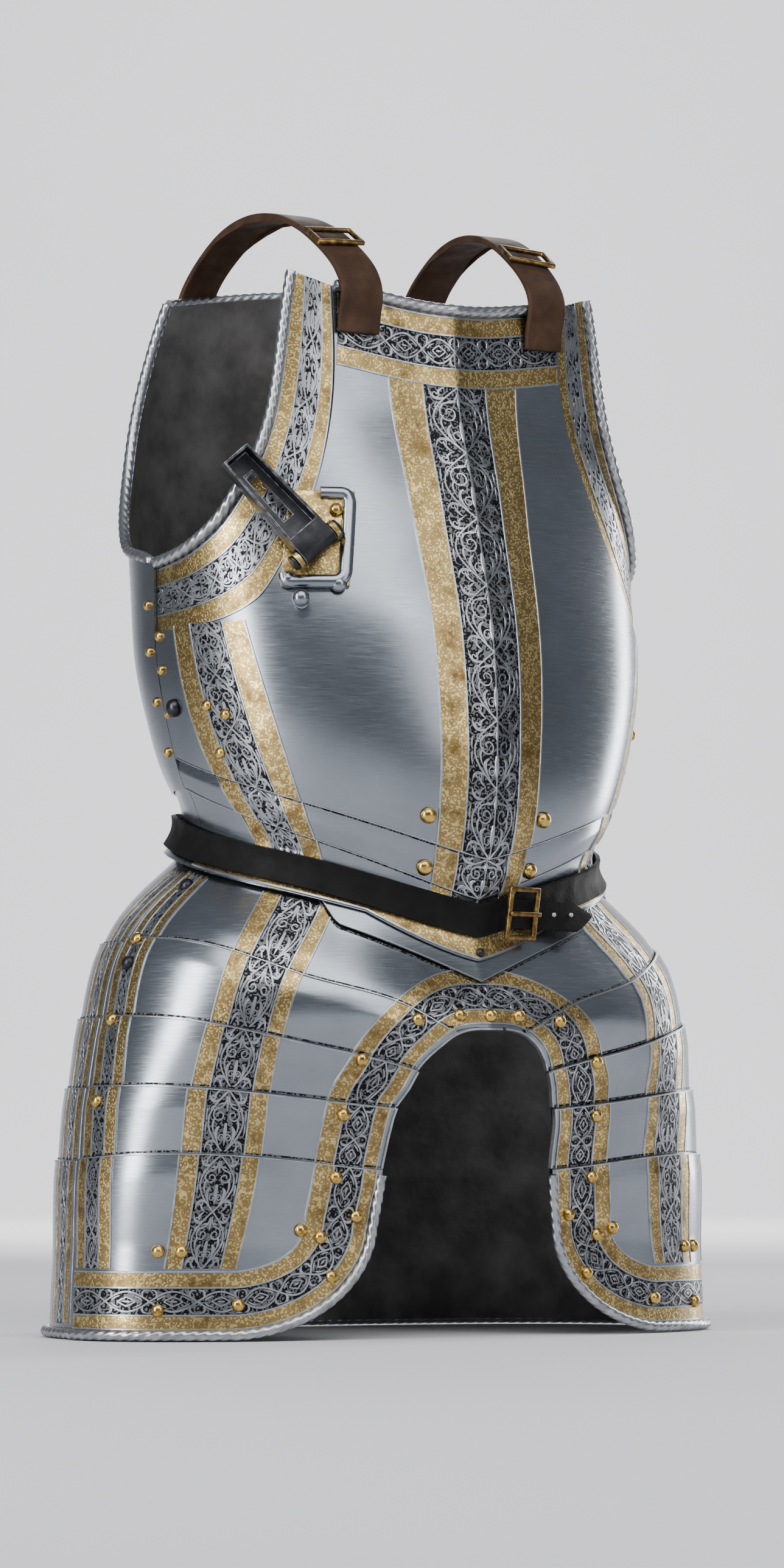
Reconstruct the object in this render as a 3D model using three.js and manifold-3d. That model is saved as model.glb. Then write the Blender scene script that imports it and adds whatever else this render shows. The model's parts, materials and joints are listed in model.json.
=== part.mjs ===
// A field cuirass of polished steel with etched and gilt bands: breastplate with arm gussets,
// backplate, laced waist, fauld and tasset lames, rear skirt, shoulder straps, belt and lance rest.
// Millimetres, +Z up. The wearer faces -Y and the wearer's right arm is at -X.
import * as THREE from 'three';
import { mergeVertices } from 'three/addons/utils/BufferGeometryUtils.js';
import Module from 'manifold-3d';

const wasm = await Module();
wasm.setup();

// Body sizes, measured from the narrowest ring of the waist at the wearer's side
const torsoHeight = 360;
const skirtLength = 307;
const waistWidth = 258;
const chestWidth = 320;
const skirtWidth = 432;
const waistFront = 101;
const chestFront = 124;
const skirtFront = 120;
const waistBack = 94;
const chestBack = 121;
const skirtBack = 128;
const ridgeHeight = 8;
const waistDip = 60;

// Plates
const plateThickness = 1.2;
const lapStep = 2;
const lapWidth = 11;
const lapEase = 0.4;
const seamGap = 0.5;
const ropeDiameter = 7;
const hemRopeDiameter = 6.4;
const pieceGap = 0.3;
const frontEdgeAngle = 88;

// Leather
const beltWidth = 22;
const beltThickness = 3;
const beltClearance = 0.9;
const tailLength = 54;
const strapWidth = 27;
const strapThickness = 4;
const strapRise = 62;
const strapLap = 26;

// Buckles
const buckleWidth = 25;
const buckleHeight = 32;
const buckleWire = 3;
const buckleAngle = 14;

// Lance rest
const restWidth = 40;
const restHeight = 58;
const restPlate = 3;
const armLength = 78;
const armWidth = 25;
const armDepth = 12;
const armWall = 2.4;
const slotWidth = 7;
const pinDiameter = 5;
const lugThickness = 3.4;
const ballDiameter = 12;

// Rivets
const bandRivet = 10;
const sideRivet = 7;
const sideStud = 11;
const skirtPin = 9;

// Angle from the front at which the dip of the waist line ends, and how softly it ends
const dipEndAngle = 110;
const dipSoftness = 0.08;

// Cross sections of the body. height: share of torsoHeight above the waist, of skirtLength below it.
// wide, front, back: 0 at the waist size, 1 at the chest size above the waist or the skirt size below.
const sections = [
  { height: -1.000, wide: 1.000, front: -0.37, back: 1.00, square: 2.5, ridge: 0.00 },
  { height: -0.847, wide: 0.977, front: -0.37, back: 1.00, square: 2.5, ridge: 0.00 },
  { height: -0.684, wide: 0.943, front: -0.21, back: 1.00, square: 2.5, ridge: 0.00 },
  { height: -0.489, wide: 0.862, front: 0.32, back: 0.97, square: 2.4, ridge: 0.00 },
  { height: -0.358, wide: 0.770, front: 0.84, back: 0.91, square: 2.4, ridge: 0.12 },
  { height: -0.195, wide: 0.586, front: 1.00, back: 0.65, square: 2.3, ridge: 0.38 },
  { height: -0.098, wide: 0.310, front: 0.30, back: 0.35, square: 2.3, ridge: 0.62 },
  { height: 0.000, wide: 0.000, front: 0.00, back: 0.00, square: 2.3, ridge: 0.75 },
  { height: 0.083, wide: 0.290, front: 0.48, back: 0.30, square: 2.3, ridge: 1.00 },
  { height: 0.167, wide: 0.645, front: 0.87, back: 0.52, square: 2.3, ridge: 1.00 },
  { height: 0.278, wide: 0.935, front: 1.00, back: 0.78, square: 2.3, ridge: 1.00 },
  { height: 0.375, wide: 1.000, front: 0.74, back: 0.93, square: 2.3, ridge: 1.00 },
  { height: 0.458, wide: 1.000, front: 0.22, back: 1.00, square: 2.4, ridge: 1.00 },
  { height: 0.556, wide: 0.935, front: -0.26, back: 1.00, square: 2.6, ridge: 1.00 },
  { height: 0.667, wide: 0.740, front: -0.74, back: 0.89, square: 3.0, ridge: 0.75 },
  { height: 0.778, wide: 0.550, front: -0.96, back: 0.59, square: 3.3, ridge: 0.62 },
  { height: 0.889, wide: 0.355, front: -1.00, back: 0.15, square: 3.3, ridge: 0.50 },
  { height: 1.000, wide: 0.100, front: -1.09, back: -0.52, square: 3.3, ridge: 0.38 },
];

// Rows of the breastplate from its lower edge to the neck, heights as shares of torsoHeight.
// edge: the plate's own side edge. rope: the armhole's roped edge on the gusset.
const armpitRow = 4;
const breastRows = [
  { centre: -0.075, edgeAngle: 90, edgeHeight: 0.100 },
  { centre: -0.014, edgeAngle: 90, edgeHeight: 0.139 },
  { centre: 0.050, edgeAngle: 90, edgeHeight: 0.183 },
  { centre: 0.142, edgeAngle: 90, edgeHeight: 0.247 },
  { centre: 0.233, edgeAngle: 90, edgeHeight: 0.303, ropeAngle: 90, ropeHeight: 0.424 },
  { centre: 0.278, edgeAngle: 78, edgeHeight: 0.306, ropeAngle: 80, ropeHeight: 0.436 },
  { centre: 0.317, edgeAngle: 68, edgeHeight: 0.317, ropeAngle: 73, ropeHeight: 0.464 },
  { centre: 0.356, edgeAngle: 62, edgeHeight: 0.336, ropeAngle: 69, ropeHeight: 0.494 },
  { centre: 0.400, edgeAngle: 57.5, edgeHeight: 0.369, ropeAngle: 66, ropeHeight: 0.531 },
  { centre: 0.461, edgeAngle: 52.5, edgeHeight: 0.450, ropeAngle: 62.5, ropeHeight: 0.583 },
  { centre: 0.528, edgeAngle: 48.5, edgeHeight: 0.542, ropeAngle: 60.2, ropeHeight: 0.653 },
  { centre: 0.611, edgeAngle: 46.5, edgeHeight: 0.639, ropeAngle: 59, ropeHeight: 0.736 },
  { centre: 0.728, edgeAngle: 46, edgeHeight: 0.750, ropeAngle: 58, ropeHeight: 0.833 },
  { centre: 0.853, edgeAngle: 47, edgeHeight: 0.881, ropeAngle: 57, ropeHeight: 0.903 },
];

// Rows of the backplate in the same manner
const backRows = [
  { centre: 0.050, edgeAngle: 90, edgeHeight: 0.050 },
  { centre: 0.125, edgeAngle: 90, edgeHeight: 0.117 },
  { centre: 0.211, edgeAngle: 90, edgeHeight: 0.189 },
  { centre: 0.300, edgeAngle: 90, edgeHeight: 0.260 },
  { centre: 0.378, edgeAngle: 90, edgeHeight: 0.340 },
  { centre: 0.450, edgeAngle: 90, edgeHeight: 0.424 },
  { centre: 0.522, edgeAngle: 103, edgeHeight: 0.456 },
  { centre: 0.594, edgeAngle: 114, edgeHeight: 0.528 },
  { centre: 0.672, edgeAngle: 121, edgeHeight: 0.611 },
  { centre: 0.756, edgeAngle: 125, edgeHeight: 0.708 },
  { centre: 0.844, edgeAngle: 127, edgeHeight: 0.806 },
  { centre: 0.944, edgeAngle: 127, edgeHeight: 0.903 },
];

// The inner edge of the arch between the tassets, heights as shares of skirtLength
const archEdge = [
  { angle: 0, height: -0.414 },
  { angle: 6, height: -0.415 },
  { angle: 11, height: -0.424 },
  { angle: 17.5, height: -0.458 },
  { angle: 20.7, height: -0.485 },
  { angle: 25.5, height: -0.544 },
  { angle: 29, height: -0.600 },
  { angle: 31.2, height: -0.680 },
  { angle: 34.5, height: -0.801 },
];
const hemHeight = -0.995;
const hemCornerAngle = 62;
const hemCornerPower = 1.6;

// Upper edges of the tasset lames, heights as shares of skirtLength at the given angles
const lameAngles = [13, 28, 48, 66, 90];
const lameLines = [
  [-0.414, -0.361, -0.316, -0.260, -0.238],
  [-0.512, -0.478, -0.441, -0.402, -0.388],
  [-0.575, -0.563, -0.546, -0.527, -0.524],
  [-0.690, -0.684, -0.668, -0.652, -0.664],
];

// Facet edges shared by the plates, so that lapping plates turn at the same places
const facetAngles = [0, 10, 20, 30, 41, 53, 65, 77, 85, 90];
const rearFacetAngles = [0, 13, 26, 39, 52, 65, 78, 90];

// Materials
const polishedSteel = { color: 0x9aa0a6, metalness: 1, roughness: 0.28 };
const giltSteel = { color: 0x9c7a3c, metalness: 1, roughness: 0.4 };
const darkSteel = { color: 0x3a3a3c, metalness: 1, roughness: 0.4 };
const blackLeather = { color: 0x1d1b1a, metalness: 0, roughness: 0.6 };
const brownLeather = { color: 0x4a3526, metalness: 0, roughness: 0.6 };

const toRadians = THREE.MathUtils.degToRad;
const lerp = THREE.MathUtils.lerp;
const clamp = THREE.MathUtils.clamp;

// A natural cubic curve through a short table
function smoothTable(xs, ys) {
  const last = xs.length - 1;
  const bend = new Array(last + 1).fill(0);
  const sweep = new Array(last + 1).fill(0);
  for (let i = 1; i < last; i += 1) {
    const share = (xs[i] - xs[i - 1]) / (xs[i + 1] - xs[i - 1]);
    const pivot = share * bend[i - 1] + 2;
    const slope = (ys[i + 1] - ys[i]) / (xs[i + 1] - xs[i]) - (ys[i] - ys[i - 1]) / (xs[i] - xs[i - 1]);
    bend[i] = (share - 1) / pivot;
    sweep[i] = ((6 * slope) / (xs[i + 1] - xs[i - 1]) - share * sweep[i - 1]) / pivot;
  }
  for (let i = last - 1; i >= 0; i -= 1) {
    bend[i] = bend[i] * bend[i + 1] + sweep[i];
  }
  return (x) => {
    let i = 0;
    while (i < last - 1 && x > xs[i + 1]) i += 1;
    const step = xs[i + 1] - xs[i];
    const left = (xs[i + 1] - x) / step;
    const right = (x - xs[i]) / step;
    const cubic = (left ** 3 - left) * bend[i] + (right ** 3 - right) * bend[i + 1];
    return left * ys[i] + right * ys[i + 1] + (cubic * step * step) / 6;
  };
}

// A straight-sided table lookup that holds its end values
function table(xs, ys) {
  return (x) => {
    let i = 0;
    while (i < xs.length - 2 && x > xs[i + 1]) i += 1;
    return lerp(ys[i], ys[i + 1], clamp((x - xs[i]) / (xs[i + 1] - xs[i]), 0, 1));
  };
}

const sectionHeights = sections.map((row) => row.height * (row.height > 0 ? torsoHeight : skirtLength));
function sectionCurve(key, waist, chest, skirt) {
  const sizes = sections.map((row) => waist + row[key] * ((row.height > 0 ? chest : skirt) - waist));
  return smoothTable(sectionHeights, sizes);
}
const halfWidthAt = sectionCurve('wide', waistWidth / 2, chestWidth / 2, skirtWidth / 2);
const frontDepthAt = sectionCurve('front', waistFront, chestFront, skirtFront);
const backDepthAt = sectionCurve('back', waistBack, chestBack, skirtBack);
const squarenessAt = smoothTable(sectionHeights, sections.map((row) => row.square));
const ridgeAt = smoothTable(sectionHeights, sections.map((row) => row.ridge * ridgeHeight));

// Height of the narrowest ring at an angle from the front
const sideWaistHeight = -2;
const fromFront = (angle) => Math.abs(angle > 180 ? angle - 360 : angle);
function waistHeight(angle) {
  const share = 1 - (fromFront(angle) / dipEndAngle) ** 1.1;
  const dip = (share + Math.hypot(share, dipSoftness)) / 2;
  return sideWaistHeight - waistDip * dip;
}

// How much of the waist line's dip a height still follows
const dipFadeStartUp = -0.028 * torsoHeight;
const dipFadeUp = 0.583 * torsoHeight;
const dipFadeStartDown = 0.293 * skirtLength;
const dipFadeDown = 0.554 * skirtLength;
function dipShare(height) {
  const down = height < -dipFadeStartDown;
  const faded = down ? (-dipFadeStartDown - height) / dipFadeDown : (height - dipFadeStartUp) / dipFadeUp;
  return 1 - THREE.MathUtils.smoothstep(faded, 0, 1);
}

function bodyPoint(angle, height) {
  const level = height - waistHeight(angle) * dipShare(height);
  const turn = toRadians(angle);
  const side = Math.sin(turn);
  const fore = Math.cos(turn);
  const depth = fore >= 0 ? frontDepthAt(level) : backDepthAt(level);
  const power = squarenessAt(level);
  const radius = (
    Math.abs(side / halfWidthAt(level)) ** power + Math.abs(fore / depth) ** power
  ) ** (-1 / power);
  const ridge = fore > 0 ? ridgeAt(level) * (1 - Math.abs(side)) ** 3 : 0;
  return new THREE.Vector3(radius * side, -radius * fore - ridge, height);
}

// The body's outward direction
const probeAngle = 0.4;
const probeHeight = 0.8;
function bodyNormal(angle, height) {
  const across = bodyPoint(angle + probeAngle, height).sub(bodyPoint(angle - probeAngle, height));
  const up = bodyPoint(angle, height + probeHeight).sub(bodyPoint(angle, height - probeHeight));
  return across.cross(up).normalize();
}

function skin(angle, height, offset) {
  return bodyPoint(angle, height).addScaledVector(bodyNormal(angle, height), offset);
}

// Solid geometry from rows of points: ring points joined along a path, closed at both ends
function toGeometry(points, triangles) {
  const geometry = new THREE.BufferGeometry();
  geometry.setAttribute('position', new THREE.Float32BufferAttribute(points.flatMap((p) => [p.x, p.y, p.z]), 3));
  geometry.setIndex(triangles);
  geometry.computeVertexNormals();
  return geometry;
}

function toSolid(geometry) {
  const bare = geometry.clone();
  bare.deleteAttribute('normal');
  bare.deleteAttribute('uv');
  const merged = mergeVertices(bare, 1e-4);
  return new wasm.Manifold(new wasm.Mesh({
    numProp: 3,
    vertProperties: new Float32Array(merged.attributes.position.array),
    triVerts: new Uint32Array(merged.index.array),
  }));
}

function fromSolid(solid) {
  const mesh = solid.getMesh();
  const geometry = new THREE.BufferGeometry();
  geometry.setAttribute('position', new THREE.BufferAttribute(new Float32Array(mesh.vertProperties), 3));
  geometry.setIndex(new THREE.BufferAttribute(new Uint32Array(mesh.triVerts), 1));
  geometry.computeVertexNormals();
  return geometry;
}

function joined(first, ...others) {
  return fromSolid(others.reduce((solid, other) => solid.add(toSolid(other)), toSolid(first)));
}

// A sheet: columns run left to right seen from outside, each a list of [angle, height, offset] from
// its upper to its lower edge. The offset is the outer face's distance from the body.
function sheet(columns, thickness = plateThickness) {
  const rowCount = columns[0].length;
  const points = [];
  for (const inset of [0, thickness]) {
    for (const column of columns) {
      for (const [angle, height, offset] of column) points.push(skin(angle, height, offset - inset));
    }
  }
  const inner = columns.length * rowCount;
  const at = (column, row, base = 0) => base + column * rowCount + row;
  const triangles = [];
  let onLeft = false;
  const quad = (a, b, c, d) => {
    if (onLeft) triangles.push(a, b, d, b, c, d);
    else triangles.push(a, b, c, a, c, d);
  };
  for (let i = 0; i < columns.length - 1; i += 1) {
    onLeft = Math.sin(toRadians(columns[i][0][0] + columns[i + 1][0][0]) / 2) > 0;
    for (let j = 0; j < rowCount - 1; j += 1) {
      quad(at(i, j), at(i, j + 1), at(i + 1, j + 1), at(i + 1, j));
      quad(at(i, j, inner), at(i + 1, j, inner), at(i + 1, j + 1, inner), at(i, j + 1, inner));
    }
    const foot = rowCount - 1;
    quad(at(i, 0), at(i + 1, 0), at(i + 1, 0, inner), at(i, 0, inner));
    quad(at(i, foot), at(i, foot, inner), at(i + 1, foot, inner), at(i + 1, foot));
  }
  const end = columns.length - 1;
  for (let j = 0; j < rowCount - 1; j += 1) {
    quad(at(0, j), at(0, j, inner), at(0, j + 1, inner), at(0, j + 1));
    quad(at(end, j), at(end, j + 1), at(end, j + 1, inner), at(end, j, inner));
  }
  return toGeometry(points, triangles);
}

// A round roll along an edge given as [angle, height, offset] stops
function roll(stops, diameter, sides = 6) {
  const path = new THREE.CatmullRomCurve3(stops.map(([angle, height, offset]) => skin(angle, height, offset)));
  // Every ring of the roll stands on a stop, so its chords keep to those of the sheet's edge
  path.getUtoTmapping = (share) => share;
  const ring = [];
  for (let i = 0; i < sides; i += 1) {
    const turn = ((i + 0.5) / sides) * 2 * Math.PI;
    ring.push(new THREE.Vector2(Math.cos(turn), Math.sin(turn)).multiplyScalar(diameter / 2));
  }
  const steps = stops.length - 1;
  return new THREE.ExtrudeGeometry(new THREE.Shape(ring), { steps, extrudePath: path, bevelEnabled: false });
}

function bothSides(angles) {
  return [...angles.slice(1).reverse().map((angle) => -angle), ...angles];
}

// Angular width of the half seam at the wearer's side
const seamAngle = THREE.MathUtils.radToDeg(seamGap / chestWidth);
const sideAngle = 90 - seamAngle;

// Edges of the waist plates
const breastEdge = (angle) => {
  const rise = (breastRows[0].edgeHeight - breastRows[0].centre) * torsoHeight;
  return breastRows[0].centre * torsoHeight + rise * (Math.abs(angle) / 90) ** 1.15;
};
const laceLameCentre = -0.139 * torsoHeight;
const laceLameSide = 0.05 * torsoHeight;
const laceLameEdge = (angle) => {
  const share = Math.min(fromFront(angle) / 90, 1) ** 1.15;
  return laceLameCentre + (laceLameSide - laceLameCentre) * share;
};
const flangeDrop = 14;
const flangePointDrop = 11;
const flangePointAngle = 36;
const flangeEdge = (angle) => {
  const point = Math.max(0, 1 - (fromFront(angle) / flangePointAngle) ** 2);
  return waistHeight(angle) - flangeDrop - flangePointDrop * point;
};

// Lower edge of the first fauld lame: a wide V that slips under the flange at the side
const fauldPoint = -0.322 * skirtLength;
const fauldSlope = 0.00254 * skirtLength;
const fauldTuckStart = 42;
const fauldTuckEnd = 51;
const fauldTuckDepth = 5;
const firstFauldEdge = (angle) => {
  const line = fauldPoint + fauldSlope * Math.abs(angle);
  const hidden = flangeEdge(angle) + fauldTuckDepth;
  return lerp(line, hidden, THREE.MathUtils.smoothstep(Math.abs(angle), fauldTuckStart, fauldTuckEnd));
};

// Upper edges of the tasset lames and the arch between the tassets
const lameLine = lameLines.map((shares) => {
  const curve = smoothTable(lameAngles, shares.map((share) => share * skirtLength));
  return (angle) => curve(clamp(Math.abs(angle), lameAngles[0], 90));
});
const archHeight = table(archEdge.map((row) => row.angle), archEdge.map((row) => row.height * skirtLength));
const archAngle = table(
  archEdge.map((row) => -row.height * skirtLength),
  archEdge.map((row) => row.angle),
);
const archFoot = archEdge[archEdge.length - 1];
const hemLevel = hemHeight * skirtLength;
const hemEdge = (angle) => {
  const fall = hemLevel - archFoot.height * skirtLength;
  const share = clamp((hemCornerAngle - Math.abs(angle)) / (hemCornerAngle - archFoot.angle), 0, 1);
  return archFoot.height * skirtLength + fall * (1 - share ** hemCornerPower) ** (1 / hemCornerPower);
};

// Where a height line meets the arch
function meetArch(line) {
  let angle = archFoot.angle;
  for (let i = 0; i < 12; i += 1) angle = archAngle(-line(angle));
  return angle;
}

const model = new THREE.Group();
// The origin lies between the undersides of the shoulder straps, so the body hangs below it
const body = new THREE.Group();
model.add(body);

function addPiece(name, geometry, finish) {
  const mesh = new THREE.Mesh(geometry, new THREE.MeshStandardMaterial(finish));
  mesh.name = name;
  body.add(mesh);
  return mesh;
}

// Breastplate: curved rows between its lower edge and the neck, with a roped neck
function breastColumns(rows, mirror) {
  const last = rows.length - 1;
  return bothSides(mirror ? rearFacetAngles : facetAngles).map((facet) => rows.map((unused, index) => {
    const row = rows[last - index];
    const share = facet / 90;
    const bend = lerp(1.15, 2, (last - index) / last);
    const edgeAngle = Math.min(row.edgeAngle, sideAngle);
    const angle = mirror ? 180 + share * Math.max(180 - row.edgeAngle, 0) : share * edgeAngle;
    const height = lerp(row.centre, row.edgeHeight, Math.abs(share) ** bend) * torsoHeight;
    return [angle, height, 0];
  }));
}

function edgeStops(columns, row, offset) {
  return columns.map((column) => [column[row][0], column[row][1], offset]);
}

const frontColumns = breastColumns(breastRows, false);
const ropeOffset = ropeDiameter / 2 - plateThickness;
const ropeEndAngle = 0.8;
const gussetGap = 1.15;
addPiece('breast_plate', joined(
  sheet(frontColumns),
  roll(edgeStops(frontColumns, 0, ropeOffset), ropeDiameter),
), polishedSteel);

// Arm gussets: slipped under the breastplate's edge, roped at the armhole
const gussetOffset = -(plateThickness + gussetGap);
const gussetShares = [0, 0.34, 0.68, 1, 1.24];
const gussetRows = breastRows.slice(armpitRow);
function gussetColumns(side) {
  const columns = gussetShares.map((share) => gussetRows.slice().reverse().map((row) => {
    const edgeAngle = Math.min(row.edgeAngle, sideAngle);
    const ropeAngle = Math.min(row.ropeAngle, sideAngle);
    const angle = lerp(ropeAngle, edgeAngle, share);
    return [side * angle, lerp(row.ropeHeight, row.edgeHeight, share) * torsoHeight, gussetOffset];
  }));
  return side > 0 ? columns.reverse() : columns;
}
for (const [name, side] of [['right_arm_gusset', -1], ['left_arm_gusset', 1]]) {
  const columns = gussetColumns(side);
  const edge = side > 0 ? columns[columns.length - 1] : columns[0];
  const rope = edge.map(([angle, height]) => [
    clamp(angle, ropeEndAngle - 90, 90 - ropeEndAngle),
    height,
    gussetOffset + ropeOffset,
  ]);
  addPiece(name, joined(sheet(columns), roll(rope, ropeDiameter)), polishedSteel);
}

// Plates of the waist. Each is a list of stations down every facet edge.
function ringSheet(angles, stations, thickness) {
  return sheet(angles.map((angle) => stations(angle).map(([height, offset]) => [angle, height, offset])), thickness);
}
const frontAngles = bothSides(facetAngles).map((angle) => clamp(angle, -sideAngle, sideAngle));
const rearAngles = bothSides(rearFacetAngles).map((angle) => 180 + clamp(angle, -sideAngle, sideAngle));

addPiece('waist_lame', ringSheet(frontAngles, (angle) => [
  [breastEdge(angle) + lapWidth, -lapStep],
  [breastEdge(angle) - 1, -lapStep],
  [laceLameEdge(angle) + lapWidth, 0],
  [laceLameEdge(angle), 0],
]), polishedSteel);

// Waist plate with the flared flange that carries the skirt
const flangeStations = (angle) => [
  [laceLameEdge(angle) + lapWidth - 2, -lapStep],
  [laceLameEdge(angle) - 1, -lapStep],
  [Math.min(waistHeight(angle) + beltWidth / 2 + 1, laceLameEdge(angle) - 4), -lapStep / 2],
  [waistHeight(angle) + 2, lapStep],
  [waistHeight(angle) - flangeDrop / 2, lapStep],
  [flangeEdge(angle), lapStep],
];
addPiece('waist_plate', ringSheet(frontAngles, flangeStations), polishedSteel);

// Fauld: two lames right across the front
addPiece('fauld_lame_1', ringSheet(frontAngles, (angle) => [
  [waistHeight(angle) - 1, 0],
  [waistHeight(angle) - flangeDrop / 2, 0],
  [Math.max(flangeEdge(angle), firstFauldEdge(angle) + 1), 0],
  [firstFauldEdge(angle), 0],
]), polishedSteel);

const skirtAngles = frontAngles.map((angle) => clamp(angle, -frontEdgeAngle, frontEdgeAngle));
// Stations of the lame that hangs from the waist, under the first fauld lame and the flange
function hangingStations(angle, foot, offset) {
  const edge = firstFauldEdge(angle);
  const under = edge - 2;
  const clear = Math.max(foot + lapWidth + 1, lerp(under, foot, 0.6));
  return [
    [edge + lapWidth, offset - lapStep - lapEase],
    [edge + lapWidth / 2 - 1, offset - lapStep - lapEase],
    [under, offset - lapStep - lapEase],
    [clear, offset],
    [foot, offset],
  ];
}
addPiece('fauld_lame_2', ringSheet(skirtAngles, (angle) => {
  const foot = Math.max(archHeight(Math.abs(angle)), lameLine[0](angle) - lapWidth);
  return hangingStations(angle, foot, 0);
}), polishedSteel);

// Tassets: four lames on each thigh, each lapping over the lower edge of the one above
const hemRopeOffset = hemRopeDiameter / 2 - plateThickness;
function lameStations(index, angle) {
  const top = lameLine[index](angle);
  if (index === lameLine.length - 1) {
    const foot = hemEdge(angle);
    return [[top, lapStep], [top - lapWidth - 1, lapStep + lapEase], [lerp(top, foot, 0.5), 0], [foot, 0]];
  }
  const next = lameLine[index + 1](angle);
  return [[top, lapStep], [top - lapWidth - 1, lapStep + lapEase], [next + 1, 0], [next - lapWidth, 0]];
}

// The column on the arch: each station moves to the arch's own angle at that height
function archColumn(index) {
  const start = meetArch(lameLine[index]);
  return lameStations(index, start).map(([height, offset]) => [archAngle(-height), height, offset]);
}
const tassetFacets = facetAngles.filter((angle) => angle > archFoot.angle + 3);
const hemCornerFacets = [46, 56];
function tassetColumns(index, side) {
  const arch = archColumn(index);
  const columns = [arch];
  for (const share of [0.33, 0.67]) {
    columns.push(arch.map(([archStop], row) => {
      const angle = lerp(archStop, tassetFacets[0], share);
      const [height, offset] = lameStations(index, angle)[row];
      return [angle, height, offset];
    }));
  }
  const extra = index === lameLine.length - 1 ? hemCornerFacets : [];
  const facets = [...tassetFacets, ...extra].sort((a, b) => a - b);
  for (const facet of facets) {
    const angle = Math.min(facet, frontEdgeAngle);
    columns.push(lameStations(index, angle).map(([height, offset]) => [angle, height, offset]));
  }
  const placed = columns.map((column) => column.map(([angle, height, offset]) => [side * angle, height, offset]));
  return side > 0 ? placed : placed.reverse();
}
for (const [label, side] of [['right', -1], ['left', 1]]) {
  lameLine.forEach((line, index) => {
    const columns = tassetColumns(index, side);
    const plate = sheet(columns);
    const name = `${label}_tasset_lame_${index + 1}`;
    if (index < lameLine.length - 1) {
      addPiece(name, plate, polishedSteel);
      return;
    }
    const inward = side > 0 ? columns : columns.slice().reverse();
    const down = inward[0].map(([angle, height]) => [angle, height, hemRopeOffset]);
    const along = inward.slice(1).map((column) => [column[3][0], column[3][1], hemRopeOffset]);
    addPiece(name, joined(plate, roll([...down.slice(1), ...along], hemRopeDiameter)), polishedSteel);
  });
}

// Backplate with a roped neck and roped armholes
const backColumns = breastColumns(backRows, true).map((column) => column.map(([angle, height, offset]) => [
  clamp(angle, 180 - sideAngle, 180 + sideAngle),
  height,
  offset,
]));
const backNeck = edgeStops(backColumns, 0, ropeOffset);
const backArmRows = backRows.length - armpitRow;
const backArm = (column) => column.slice(0, backArmRows).map(([angle, height]) => [
  clamp(angle, 90 + ropeEndAngle, 270 - ropeEndAngle),
  height,
  ropeOffset,
]);
addPiece('back_plate', joined(
  sheet(backColumns),
  roll(backNeck, ropeDiameter),
  roll(backArm(backColumns[0]), ropeDiameter),
  roll(backArm(backColumns[backColumns.length - 1]), ropeDiameter),
), polishedSteel);
addPiece('back_waist_plate', ringSheet(rearAngles, flangeStations), polishedSteel);

// Rear skirt: five lames that pass behind the front lames' rear edges
const rearLines = lameLine.map((line) => line(90));
const rearInner = bothSides(rearFacetAngles).slice(1, -1).map((angle) => 180 + angle);
const rearSkirtAngles = [85, frontEdgeAngle, ...rearInner, 360 - frontEdgeAngle, 275];
const rearFeet = [...rearLines.map((line) => line - lapWidth), hemLevel];
rearFeet.forEach((foot, index) => {
  const isHem = index === rearFeet.length - 1;
  const stations = (angle) => {
    if (index === 0) return hangingStations(angle, foot, -2 * lapStep);
    const top = rearLines[index - 1];
    const settled = isHem ? lerp(top, foot, 0.5) : foot + lapWidth + 1;
    return [
      [top, -lapStep - lapEase],
      [top - lapWidth - 1, -lapStep - lapEase],
      [settled, -2 * lapStep],
      [foot, -2 * lapStep],
    ];
  };
  const plate = ringSheet(rearSkirtAngles, stations);
  const hemStops = rearSkirtAngles.slice(1, -1).map((angle) => [angle, hemLevel, hemRopeOffset - 2 * lapStep]);
  addPiece(
    `rear_skirt_lame_${index + 1}`,
    isHem ? joined(plate, roll(hemStops, hemRopeDiameter)) : plate,
    polishedSteel,
  );
});

// Belt: a flat strap right round the waist with a loose pointed tail
const beltOffset = lapStep + beltClearance + beltThickness;
const beltAngles = [
  ...bothSides(facetAngles).slice(0, -1),
  ...bothSides(rearFacetAngles).slice(0, -1).map((angle) => 180 + angle),
];
function ringBand(angles, upper, lower, outer, thickness) {
  const points = [];
  for (const angle of angles) {
    points.push(skin(angle, upper(angle), outer));
    points.push(skin(angle, lower(angle), outer));
    points.push(skin(angle, lower(angle), outer - thickness));
    points.push(skin(angle, upper(angle), outer - thickness));
  }
  const triangles = [];
  const count = angles.length;
  for (let i = 0; i < count; i += 1) {
    const here = i * 4;
    const next = ((i + 1) % count) * 4;
    for (let j = 0; j < 4; j += 1) {
      const k = (j + 1) % 4;
      triangles.push(here + j, here + k, next + k, here + j, next + k, next + j);
    }
  }
  return toGeometry(points, triangles);
}

// A strip swept through stations of centre, across and outward directions
function strip(stations, width, thickness) {
  const points = [];
  for (const { centre, across, out, width: own = width } of stations) {
    for (const [side, face] of [[-1, 1], [-1, -1], [1, -1], [1, 1]]) {
      points.push(centre.clone()
        .addScaledVector(across, (side * own) / 2)
        .addScaledVector(out, (face * thickness) / 2));
    }
  }
  const triangles = [0, 2, 1, 0, 3, 2];
  for (let i = 0; i < stations.length - 1; i += 1) {
    const here = i * 4;
    const next = here + 4;
    for (let j = 0; j < 4; j += 1) {
      const k = (j + 1) % 4;
      triangles.push(here + j, here + k, next + k, here + j, next + k, next + j);
    }
  }
  const end = (stations.length - 1) * 4;
  triangles.push(end, end + 1, end + 2, end, end + 2, end + 3);
  return toGeometry(points, triangles);
}

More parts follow.
